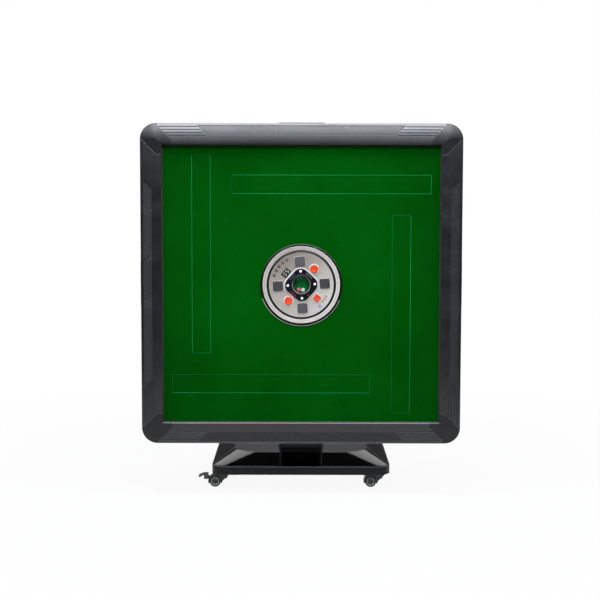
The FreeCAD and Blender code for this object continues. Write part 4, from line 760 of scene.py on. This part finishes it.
def diamond(reach, corner, z, steps=9):
    """A square standing on its corner, with round corners, reaching out to reach."""
    side = (reach + corner * (math.sqrt(2) - 1)) / math.sqrt(2)
    return [tuple(turned(45) @ Vector(point)) for point in round_box(side, side, corner, z, steps)]


def console_collar_ring():
    """Spun silver rings in the top of the black collar, and a pale arc round its lower edge that
    is a painted highlight.
    """
    low = COLLAR_TOP - SUNK
    ring = Solid()
    ring.band(117, 111.4, low, COLLAR_TOP + 0.7, 0.35)
    ring.band(111, 105, low, COLLAR_TOP + 0.55, 0.35)
    ring.on_table("collar_ring", "silver_ring")
    # A pale arc along the lower edge of the collar: painted highlight.
    painted_highlight = Solid()
    section = ((-0.7, -0.2), (0.6, -0.2), (0.6, 0.8), (0, 1.3), (-0.7, 1.3))
    loops = []
    for step in range(HIGHLIGHT_STEPS + 1):
        angle = HIGHLIGHT_FROM + step * HIGHLIGHT_STEP
        place = polar(HIGHLIGHT_RADIUS, angle, 0, angle)
        loops.append([place @ Vector((x, 0, z)) for x, z in section])
    painted_highlight.stack(loops)
    painted_highlight.on_table("collar_painted_highlight", "white_gloss")


def console_bezel():
    """Pale rim round the dice bezel, its lamps and bars, the dome's seat and the well's wall."""
    rim = Solid()
    levels = [(3.4, -0.1), (3.4, 0.6), (2.6, 1.1), (0.9, 1.1), (0.3, 0.7), (0.3, -0.1)]
    rim.stack([diamond(BEZEL_HALF + grow, BEZEL_CORNER + grow, PANEL_TOP + rise)
               for grow, rise in levels], ring=True)
    rim.on_console("bezel_rim", "white_gloss")
    lamps = Solid()
    lens = [(LAMP_RADIUS, BEZEL_TOP - SUNK)]
    lens += [(LAMP_RADIUS * math.cos(t), BEZEL_TOP + LAMP_HIGH * math.sin(t))
             for t in (0.25, 0.6, 0.95, 1.25, 1.5)]
    for angle in (0, 90, 180, 270):
        lamps.lathe(lens, polar(41, angle), steps=32)
    lamps.on_console("bezel_lamps", "lamp_white")
    low, high = BEZEL_TOP - 0.1, BEZEL_TOP + 0.18
    for name, heading, count, finish in (
            ("white", 45, 4, "lamp_pale"), ("blue", 135, 4, "lamp_blue"),
            ("red", 225, 4, "lamp_red"), ("amber", 315, 1, "lamp_red")):
        bars = Solid()
        for n in range(count):
            place = polar(36.6, heading, 0, heading) @ at(0, (n - 1.5) * 6.2)
            bars.frame(0.7, 0.9, 0.75, low, high, 0.2, 0.1, place)
            bars.slab(2.1, 0.4, low, high, 0.2, 0.1, place @ at(-0.4, 0))
        bars.on_console(f"bezel_bars_{name}", finish)
    seat = Solid()
    seat.band(31.6, 27.8, low, BEZEL_TOP + 0.8, 0.3)
    seat.on_console("dome_seat", "console_black")
    well = Solid()
    floor = DICE_FLOOR + 0.3
    wall = ((WELL_OUTER, floor), (WELL_OUTER, WELL_TOP), (WELL_INNER, WELL_TOP),
            (WELL_INNER, floor))
    well.stack([circle(radius, z, 64) for radius, z in wall], ring=True)
    well.on_console("dice_well_liner", "console_black")


PIPS = {1: [(0, 0)], 2: [(-1, -1), (1, 1)], 3: [(-1, -1), (0, 0), (1, 1)],
        4: [(-1, -1), (-1, 1), (1, -1), (1, 1)], 5: [(-1, -1), (-1, 1), (0, 0), (1, -1), (1, 1)],
        6: [(-1, -1), (-1, 0), (-1, 1), (1, -1), (1, 0), (1, 1)]}


def die(colour, pips, x, y, turn, tilt, counts):
    """A die that has slid to the low side of the dome, with rounded edges and its pips."""
    place = at(x, y, DICE_FLOOR + DIE_HALF * 1.12, turn) @ turned(tilt, "X")
    solid = Solid()
    shape = ((0.8, -1), (0.93, -0.95), (1, -0.8), (1, 0.8), (0.93, 0.95), (0.8, 1))
    solid.stack([round_box(DIE_HALF * reach, DIE_HALF * reach, DIE_HALF * 0.3, DIE_HALF * level)
                 for reach, level in shape], place)
    faces = [turned(angle, "X") for angle in (0, 90, 180, 270)]
    faces += [turned(angle, "Y") for angle in (90, -90)]
    for count, face in zip(counts, faces):
        for px, py in PIPS[count]:
            pip = place @ face @ at(px * DIE_HALF * 0.48, py * DIE_HALF * 0.48)
            radius = 1.45 if count == 1 else 0.85
            solid.disc(radius, DIE_HALF - 0.1, DIE_HALF + 0.06, 0.05, pip, 1, 16)
    solid.on_console(f"die_{colour}", [f"die_{colour}", f"pip_{pips}"])


# Column, row and whether it lies flat, for each segment of a figure.
SEGMENTS = [(0, 2, True), (0, 0, True), (0, -2, True),
            (-1, 1, False), (1, 1, False), (-1, -1, False), (1, -1, False)]
LIT = {0: (0, 2, 3, 4, 5, 6), 5: (0, 1, 2, 3, 6)}
DISPLAY_HALF = (13.4, 9.4)


def console_display():
    """Small display window with two seven-segment figures, set across a corner of the bezel."""
    place = polar(58.5, 139, 0, 49)
    half_x, half_y = DISPLAY_HALF
    window = Solid()
    window.slab(half_x, half_y, PANEL_TOP - 0.1, PANEL_TOP + 0.35, 1.2, 0.2, place)
    window.frame(half_x, half_y, 0.7, PANEL_TOP - 0.1, PANEL_TOP + 0.5, 1.2, 0.2, place, 1)
    window.on_console("display_window", ["display_glass", "mark_grey"])
    figures = Solid()
    for number, x in ((0, -5.6), (5, 5.6)):
        for index in LIT[number]:
            column, row, flat = SEGMENTS[index]
            spot = place @ at(x + column * 2.5, row * 2.6)
            long, thick = (1.9, 0.45) if flat else (0.45, 1.9)
            figures.slab(long, thick, PANEL_TOP + 0.3, PANEL_TOP + 0.42, 0.3, 0.05, spot)
    figures.on_console("display_figures", "segment")


def console_marks():
    """Blocks of bars and small pilot lamps where the real panel carries its markings."""
    low, high = PANEL_TOP - 0.1, PANEL_TOP + 0.12
    ticks = Solid()
    for n in range(5):
        angle = 117 + n * 10.2
        spot = polar(86.6, angle, 0, angle)
        ticks.frame(2.5, 2.5, 1.6, low, high, 0.5, 0.05, spot)
        ticks.slab(0.9, 2.4, low, high, 0.2, 0.05, spot)
        ticks.slab(4.9, 0.8, low, high, 0.2, 0.05, spot @ at(0, 1.3 - 1.3 * (n % 2)))
    ticks.on_console("panel_ticks", "mark_black")
    lamps = Solid()
    lamps.frame(2.6, 2.6, 2, low, PANEL_TOP + 0.2, 1.4, 0.15, polar(85.3, -52.3, 0, -7))
    for n in range(3):
        angle = -41 + n * 6.4
        spot = polar(82.6, angle, 0, angle)
        lamps.frame(2, 1.9, 1.3, low, high, 0.4, 0.05, spot, 1)
        lamps.slab(3.2, 0.7, low, high, 0.2, 0.05, spot, 1)
    for radius, angle in ((66, -60), (66.5, -25)):
        lamps.disc(1.5, low, PANEL_TOP + 0.2, 0.1, polar(radius, angle), 1, 16)
    lamps.on_console("panel_lamps", ["mark_blue", "mark_grey"])


def on_panel(node, turn=0):
    """The console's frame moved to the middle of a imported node."""
    spot = CONSOLE.inverted() @ middle(node)
    return at(spot.x, spot.y, 0, turn)


def console_buttons():
    """Pale rings round the buttons and the moulded faces on top of them."""
    low = PANEL_TOP - 0.1
    top = PANEL_TOP + BUTTON_HIGH
    start = on_panel("start_button", 45)
    rings = Solid()
    for name in ("upper", "lower"):
        rings.band(15.2, 12.5, low, PANEL_TOP + 0.9, 0.4, on_panel(f"dice_button_{name}"), 0, 48)
    rings.frame(9.75, 9.75, 1.3, low, PANEL_TOP + 0.6, 1, 0.3, start)
    rings.on_console("button_rings", "white_gloss")
    surrounds = Solid()
    for side in SIDES:
        place = on_panel(f"seat_button_{side}")
        surrounds.frame(15, 15, 1.1, low, PANEL_TOP + 0.5, 2.6, 0.25, place)
    surrounds.on_console("button_surrounds", "silver_ring")
    for side in SIDES:
        node = f"seat_button_{side}"
        place = on_panel(node)
        cap = Solid()
        cap.frame(11.6, 11.6, 0.9, top - 0.1, top + 0.3, 1.6, 0.15, place)
        for row in range(-3, 4):
            for column in range(-3, 4):
                if (row + column) % 2 == 0:
                    spot = place @ at(column * 2.9, row * 2.9)
                    cap.disc(0.75, top - 0.1, top + 0.28, 0.15, spot, 0, 10)
        # Paler caps on the top and bottom buttons: painted reflection.
        shade = "button_pale" if side in ("top", "bottom") else "button_grey"
        cap.piece(f"seat_button_face_{side}", node, CONSOLE, shade)
    for name in ("upper", "lower"):
        node = f"dice_button_{name}"
        cap = Solid()
        levels = ((11.2, -0.1), (11, 0.5), (10, 0.9), (8.2, 0.95), (7.4, 0.6), (4, 0.42), (1, 0.4))
        cap.lathe([(radius, top + rise) for radius, rise in levels], on_panel(node))
        cap.piece(f"{node}_face", node, CONSOLE, "button_red")
    cap = Solid()
    levels = ((8.6, -0.1), (8.5, 0.5), (7.8, 0.9), (6.4, 0.95), (5.8, 0.6), (1, 0.5))
    cap.stack([round_box(half, half, 1.2, top + rise) for half, rise in levels], start)
    cap.piece("start_button_face", "start_button", CONSOLE, "button_red")


# ---- box: sides, back and drawers ----
SHELL_HALF = 465
SHELL_CORNER = 28
SHELL_TOP = -16
SHELL_LOW = -172
COVER_FACE = -176
FRONT_FACE = 470.4
SIDE_SCREWS = (-420, -252, -84, 84, 252, 420)
SIDE_SCREW_DOWN = 163
VENTS, VENT_FIRST, VENT_PITCH, VENT_DOWN = 9, 286, 13, 118
INLET_SIDE = 3
COVER_SCREW_AT, COVER_SCREW_PITCH = 451, 145
HATCH_AT = (-130, 195)
FAN_AT = (165, 195)
FAN_RADIUS = 62
FACE_OUT = turned(-90, "X")
FACE_BACK = turned(180, "X")


def side_face(turns, reach):
    """Frame on one side of the box: X along it, Y away from the felt, Z outwards."""
    return quarter(turns) @ at(0, reach) @ FACE_OUT


def back_face(x, y, z=COVER_FACE, turn=0):
    """Frame on the bottom cover, Z outwards."""
    return at(x, y, z) @ FACE_BACK @ turned(turn)


def louvre(solid, place, half_long, half_wide, high):
    """A pressed louvre: a half-round hood over a dark slot."""
    hood = ((1, 0), (0.94, 0.55), (0.8, 0.85), (0.6, 1))
    solid.stack([round_box(half_long * (0.9 + 0.1 * share), half_wide * share, half_wide * share,
                           high * rise) for share, rise in hood], place)
    slot = place @ at(0, half_wide + 0.7)
    solid.slab(half_long * 0.92, 0.8, -0.05, 0.12, 0.6, 0.05, slot, 1)


def box_sides():
    """Gasket under the rails, screws and louvres of the sides, and the seam of the cover."""
    gasket = Solid()
    half = SHELL_HALF + 0.1
    gasket.frame(half, half, 2.2, SHELL_TOP - 2.2, SHELL_TOP - 0.3, SHELL_CORNER, 0.4)
    gasket.on_table("rail_gasket", "rubber")
    screws = Solid()
    vents = Solid()
    for turns in range(4):
        face = side_face(turns, SHELL_HALF)
        for along in SIDE_SCREWS:
            screws.screw(3.6, face @ at(along, SIDE_SCREW_DOWN))
        for group in (-1, 1):
            if turns == INLET_SIDE and group > 0:
                continue
            for n in range(VENTS):
                along = group * (VENT_FIRST + n * VENT_PITCH)
                louvre(vents, face @ at(along, VENT_DOWN, 0, 90), 17, 2.6, 2)
    screws.on_table("shell_screws", "screw_black")
    vents.on_table("shell_vents", ["box_plastic", "shadow_plastic"])
    seam = Solid()
    half = SHELL_HALF + 0.05
    seam.frame(half, half, 0.5, SHELL_LOW - 0.2, SHELL_LOW + 1.4, SHELL_CORNER, 0.2)
    seam.on_table("cover_seam", "shadow_plastic")


def box_back():
    """Screws, pressed beads, louvres, hatch and fan grille of the bottom cover."""
    screws = Solid()
    for n in range(-3, 4):
        for edge in (COVER_SCREW_AT, -COVER_SCREW_AT):
            screws.screw(3.8, back_face(n * COVER_SCREW_PITCH, edge))
        if abs(n) < 3:
            for edge in (COVER_SCREW_AT, -COVER_SCREW_AT):
                screws.screw(3.8, back_face(edge, n * COVER_SCREW_PITCH))
    screws.on_table("cover_screws", "screw_black")
    beads = Solid()
    for half, width in ((418, 7), (300, 6)):
        levels = [(width * share, rise) for share, rise in (
            (1, 0), (0.85, 0.9), (0.6, 1.4), (0.4, 1.4), (0.15, 0.9), (0, 0))]
        beads.profile(levels, half, half, 26, 0, back_face(0, 0), True, steps=8)
    for x, y, turn in ((-359, 0, 90), (359, 0, 90), (0, 359, 0), (0, -359, 0)):
        levels = ((0, 0), (-1, 0.9), (-2.4, 1.4))
        beads.profile(levels, 220, 10, 10, 0, back_face(x, y, COVER_FACE, turn))
    beads.on_table("cover_beads", "cover_steel")
    vents = Solid()
    for x in (-215, 215):
        for n in range(11):
            louvre(vents, back_face(x, -228 + n * 13), 44, 3.4, 2.6)
    vents.on_table("cover_vents", ["cover_steel", "shadow_plastic"])
    hatch = Solid()
    hatch.slab(120, 62, 0, 1.6, 8, 0.6, back_face(*HATCH_AT))
    for x in (-108, 108):
        for y in (-50, 50):
            hatch.screw(3.4, back_face(HATCH_AT[0] + x, HATCH_AT[1] + y, COVER_FACE - 1.5), 1)
    hatch.on_table("service_hatch", ["cover_steel", "screw_black"])
    grille = Solid()
    spot = back_face(*FAN_AT)
    grille.disc(FAN_RADIUS, 0, 0.6, 0.2, spot, 1, 64)
    for radius in range(10, 61, 10):
        grille.band(radius + 1.3, radius - 1.3, 1.6, 3.6, 0.6, spot, 0, 72)
    for turn in range(0, 180, 45):
        grille.slab(FAN_RADIUS - 1, 1.6, 0.6, 2.4, 0.5, 0.4, spot @ at(0, 0, 0, turn))
    grille.band(FAN_RADIUS + 4, FAN_RADIUS - 1.5, 0, 4, 1, spot)
    for angle in (45, 135, 225, 315):
        grille.screw(3.2, spot @ polar(FAN_RADIUS + 12, angle), 2)
    grille.on_table("fan_grille", ["cover_steel", "shadow_plastic", "screw_black"])


def drawer_details():
    """Front trims and pull strips of the drawers, and the felt in the trays."""
    lip_reach = (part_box("drawer_top")[1].z - TABLE_ORIGIN.z) / MM
    for turns, side in enumerate(SIDES):
        body = f"drawer_{side}"
        face = side_face(turns, FRONT_FACE)
        trim = Solid()
        trim.frame(149, 19.5, 0.9, -0.1, 0.5, 2, 0.2, face @ at(0, 47))
        trim.slab(60, 6, -0.1, 0.25, 3, 0.1, face @ at(0, 33.5), 1)
        trim.piece(f"{body}_front_trim", body, TABLE, ["drawer_plastic", "shadow_plastic"])
        pull = Solid()
        strip = quarter(turns) @ at(0, lip_reach - 0.8, -20.25) @ FACE_OUT
        pull.slab(67.5, 1.5, -0.6, 0.75, 1.4, 0.3, strip)
        pull.piece(f"{body}_pull_strip", body, TABLE, "chrome")
        liner = Solid()
        liner.slab(146.2, 60, -63.55, -62.4, 3, 0.4, quarter(turns) @ at(0, 399.5))
        liner.piece(f"{body}_liner", body, TABLE, "liner_felt")


INLET_FACE = 468
INLET_DOWN = 125
SOCKET_ALONG = 197.5
SOCKET_FLOOR = -17


def inlet_details():
    """Pins of the mains socket, fuse cap, and the marks on the rocker."""
    def spot(along):
        return side_face(INLET_SIDE, INLET_FACE) @ at(along, INLET_DOWN)

    pins = Solid()
    for x, y in ((-5, 2.6), (5, 2.6), (0, -3.2)):
        place = spot(SOCKET_ALONG) @ at(x, -y)
        pins.slab(1, 2.6, SOCKET_FLOOR, SOCKET_FLOOR + 11, 0.4, 0.8, place)
    pins.on_table("socket_pins", "brass")
    holder = Solid()
    holder.frame(13.2, 9.95, 1.1, -0.1, 0.9, 2, 0.3, spot(SOCKET_ALONG))
    fuse = spot(SOCKET_ALONG + 23)
    holder.disc(5.6, -0.1, 2.6, 0.8, fuse, 0, 28)
    holder.slab(4.2, 0.6, 2.5, 2.72, 0.3, 0.05, fuse, 1)
    for along in (179.5, 261.5):
        holder.screw(2.2, spot(along), 1)
    holder.on_table("inlet_fittings", ["inlet_plastic", "screw_black"])
    marks = Solid()
    marks.slab(0.35, 2.4, 0.62, 0.78, 0.2, 0.05, spot(236.6))
    marks.band(2.3, 1.6, 0.62, 0.78, 0.05, spot(248.4), 0, 24)
    marks.piece("rocker_marks", "rocker", TABLE, "white_gloss")


# ---- hinge, column and base ----
PIVOT = middle("hinge_pin")
BRACKET_FACE = -184.5
COLUMN_HALF = 70
COLUMN_CORNER = 10
HEAD_FOOT_HIGH = 26


def hinge_details():
    """Bolts of the bracket, end caps of the pin and the insert of the clamp knob."""
    pivot_table = TABLE.inverted() @ PIVOT
    bolts = Solid()
    for x in (-112, -56, 56, 112):
        for y in (-84, 84):
            bolts.bolt(6.5, 5, back_face(x, pivot_table.y + y, BRACKET_FACE))
    bolts.on_table("bracket_bolts", "zinc_steel")
    caps = Solid()
    low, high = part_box("hinge_pin")
    for x, turn in ((low.x, -90), (high.x, 90)):
        place = at(x / MM, PIVOT.y / MM, PIVOT.z / MM) @ turned(turn, "Y")
        caps.disc(13.5, -0.2, 1.8, 0.8, place, 0, 40)
        caps.stack([polygon(6, 6, 1.7), polygon(6, 6, 1.9), polygon(6, 5.4, 2.2)], place)
    caps.piece("pin_caps", "base", FLOOR, "zinc_steel")
    low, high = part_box("lock_knob")
    centre = Vector((high.x, PIVOT.y, (low.z + high.z) / 2)) / MM
    place = at(*centre) @ turned(90, "Y")
    insert = Solid()
    insert.disc(9, -0.3, 0.9, 0.4, place, 0, 36)
    insert.bolt(4.6, 2.2, place @ at(0, 0, 0.8), 1)
    insert.band(14.5, 13, -0.2, 0.5, 0.15, place, 0, 48)
    insert.piece("knob_insert", "clamp", FLOOR, ["knob_plastic", "zinc_steel"])


def column_details():
    """Collars at the column's foot and top, the plate on its back and the hinge head's bolts."""
    low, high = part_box("column")
    _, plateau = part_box("base_cover")
    centre_x, centre_y = (low.x + high.x) / 2 / MM, (low.y + high.y) / 2 / MM
    centre = at(centre_x, centre_y)
    trims = Solid()
    foot = ((4, -0.2), (3.8, 1.2), (2.8, 2), (0.8, 2.4), (0.3, 2.4), (0.3, -0.2))
    top = ((0.2, -9), (1.8, -8.4), (1.9, -0.4), (1.2, 0.3), (-6, 0.5), (-6, -0.1), (0.2, -0.1))
    for levels, z in ((foot, plateau.z / MM), (top, high.z / MM)):
        trims.profile(levels, COLUMN_HALF, COLUMN_HALF, COLUMN_CORNER, z, centre, True)
    trims.piece("column_trims", "base", FLOOR, "skirt_plastic")
    panel = Solid()
    back = at(0, centre_y + COLUMN_HALF, 290) @ FACE_OUT
    panel.slab(46, 110, 0, 1.6, 6, 0.5, back)
    for x in (-37, 37):
        for y in (-101, 101):
            panel.screw(3, back @ at(x, y, 1.5), 1)
    panel.piece("column_panel", "base", FLOOR, ["cover_steel", "screw_black"])
    head_low, head_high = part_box("hinge_head")
    bolts = Solid()
    for x in (head_low.x / MM + 9, head_high.x / MM - 9):
        bolts.bolt(5.5, 4.5, at(x, head_high.y / MM - 10, high.z / MM + HEAD_FOOT_HIGH))
    bolts.piece("head_bolts", "base", FLOOR, "zinc_steel")


def wheel_details():
    """Silver rings and hub caps on the wheels, and grip ribs on the brake pedals."""
    for name in CASTERS:
        low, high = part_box(f"caster_wheels_{name}")
        half = (high.y - low.y) / 2 / MM
        rims = Solid()
        for turn in (90, -90):
            face = at(*(low + high) / 2 / MM) @ turned(turn, "X")
            rims.band(11.8, 10.3, half - 2, half - 0.5, 0.5, face, 0, 48)
            cap = ((5.6, -1.6), (5.6, -0.9), (5.1, -0.4), (3.9, -0.1), (2.2, 0), (0.8, 0))
            rims.lathe([(radius, half + rise) for radius, rise in cap], face, steps=32)
            for angle in range(0, 360, 60):
                spoke = face @ polar(7.9, angle, 0, angle)
                rims.slab(1.6, 0.8, half - 2.2, half - 1.2, 0.4, 0.3, spoke, 1)
        rims.piece(f"wheel_rims_{name}", f"wheels_{name}", FLOOR, ["hub_silver_painted_highlight", "caster_plastic"])
    for name, outwards in (("front_left", -1), ("rear_right", 1)):
        low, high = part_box(f"brake_lever_{name}")
        low, high = low / MM, high / MM
        root = high.x if outwards < 0 else low.x
        middle_y, half_wide = (low.y + high.y) / 2, (high.y - low.y) / 2 - 2
        ribs = Solid()
        for n in range(4):
            place = at(root + outwards * (2.5 + n * 3.2), middle_y)
            ribs.slab(0.7, half_wide, high.z - 0.1, high.z + 0.7, 0.5, 0.3, place)
        ribs.piece(f"pedal_ribs_{name}", f"brake_{name}", FLOOR, "lever_plastic")


strip_ribs()
groove_shade_strips()
felt_trims()
console_collar_ring()
console_bezel()
die("red", "white", -8, -14.6, 24, 7, (5, 3, 2, 4, 5, 2))
die("white", "blue", 4.6, -16.2, -14, 5, (3, 1, 4, 6, 5, 2))
console_display()
console_marks()
console_buttons()
box_sides()
box_back()
drawer_details()
inlet_details()
hinge_details()
column_details()
wheel_details()


# ---- floor, light and camera ----
WHITE = (1, 1, 1)
FLOOR_REACH = 14
REFLECTED_STRENGTH = 7
# Levels of the room by height: what lights the object, and what is mirrored from the camera's
# side and from behind the table.
ROOM_LIGHT = ((0, 0.06), (0.35, 0.16), (0.7, 0.5), (1, 0.9))
ROOM_BEFORE = ((0, 0.005), (0.04, 0.02), (0.1, 0.14), (0.19, 0.23), (0.27, 0.33), (0.33, 0.48),
               (0.42, 0.7), (0.52, 0.95), (1, 1))
ROOM_BEHIND = ((0, 0.07), (0.05, 0.007), (0.13, 0.005), (0.17, 0.03), (0.22, 0.03), (0.3, 0.002),
               (0.8, 0.002), (1, 0.09))
COOL = (0.84, 0.89, 1)


def studio_floor():
    """A pale plain floor: white to the camera, with a soft shadow, and fading dark far away."""
    graph = Graph("floor_paint")
    cloud = graph.drift(0.8, 3, 0.97, 1)
    white = graph.add("Emission", Color=WHITE, Strength=1)
    path = graph.add("LightPath").outputs
    mirrored = graph.math("MAXIMUM", path["Is Glossy Ray"], path["Is Transmission Ray"])
    away = graph.vector("LENGTH", graph.spot)["Value"]
    clear = graph.spread(away, 0.93, 1, 0.7, 2.2)
    near = graph.spread(away, 1, 0.08, 1.4, 3.4)
    grey = graph.shade((0.5, 0.5, 0.5), graph.math("MULTIPLY", cloud, near))
    share = graph.math("MAXIMUM", graph.math("MULTIPLY", path["Is Camera Ray"], clear),
                       graph.math("MULTIPLY", mirrored, near))
    paint = graph.add("BsdfDiffuse", Color=grey)
    graph.finish(graph.add("MixShader", values=(share, paint, white)))
    data = bpy.data.meshes.new("floor")
    signs = ((-1, -1), (1, -1), (1, 1), (-1, 1))
    data.from_pydata([(x * FLOOR_REACH, y * FLOOR_REACH, 0) for x, y in signs], [], [range(4)])
    data.materials.append(graph.owner)
    linked("floor", data)


def studio_world():
    """White to the camera; reflections see a room with a dark horizon and a bright ceiling."""
    graph = Graph("studio", bpy.data.worlds, "OutputWorld", "Generated")
    bpy.context.scene.world = graph.owner
    path = graph.add("LightPath").outputs
    heading = graph.add("SeparateXYZ", values=(graph.spot,)).outputs

    def ramp(levels, tint=WHITE):
        node = graph.add("ValToRGB", Fac=heading["Z"])
        stops = node.color_ramp.elements
        for stop, (position, level) in zip(stops, (levels[0], levels[-1])):
            stop.position, stop.color = position, (*scaled(tint, level), 1)
        for position, level in levels[1:-1]:
            stops.new(position).color = (*scaled(tint, level), 1)
        return node.outputs["Color"]

    def background(colour, strength=1):
        return graph.add("Background", Color=colour, Strength=strength)

    side = graph.spread(heading["Y"], 0, 1, -0.1, 0.3)
    room = graph.mix(side, ramp(ROOM_BEFORE, COOL), ramp(ROOM_BEHIND))
    mirrored = graph.math("MAXIMUM", path["Is Glossy Ray"], path["Is Transmission Ray"])
    unseen = graph.add("MixShader", values=(
        mirrored, background(ramp(ROOM_LIGHT)), background(room, REFLECTED_STRENGTH)))
    graph.finish(graph.add("MixShader", values=(path["Is Camera Ray"], unseen, background(WHITE))))


TARGET = Vector((0, -0.3, 0.75))


def softbox(name, place, size, power, colour=WHITE):
    light = bpy.data.lights.new(name, "AREA")
    light.shape = "RECTANGLE"
    light.size, light.size_y = size
    light.energy = power
    light.color = colour
    made = linked(name, light)
    made.location = place
    made.rotation_euler = (TARGET - Vector(place)).to_track_quat("-Z", "Y").to_euler()


PHOTO_SIDE = 600
CAMERA_PLACE = (-0.0038, -4.2351, 0.9141)
CAMERA_PITCH = -0.0792
CAMERA_ROLL = 0.002
CAMERA_FOCAL_PIXELS = 1308.2


def studio_camera():
    """The photograph's viewpoint: straight on, a little above the middle of the table."""
    data = bpy.data.cameras.new("camera")
    data.sensor_width = 36
    data.lens = CAMERA_FOCAL_PIXELS / PHOTO_SIDE * data.sensor_width
    camera = linked("camera", data)
    camera.location = CAMERA_PLACE
    level = Matrix.Rotation(math.pi / 2 + CAMERA_PITCH, 3, "X")
    camera.rotation_euler = (level @ Matrix.Rotation(CAMERA_ROLL, 3, "Z")).to_euler()
    bpy.context.scene.camera = camera


studio_floor()
studio_world()
softbox("overhead", (0, -0.85, 3), (3.2, 0.7), 98, (0.88, 0.93, 1))
softbox("key", (0, -2.3, 2.9), (2.6, 1.2), 62)
softbox("back", (0, 3.4, 2.3), (3, 1.4), 17)
for side in (-1, 1):
    softbox("side", (side * 3.2, 0.6, 1.8), (1.6, 2.4), 8)
studio_camera()
bpy.context.scene.view_settings.view_transform = "Standard"
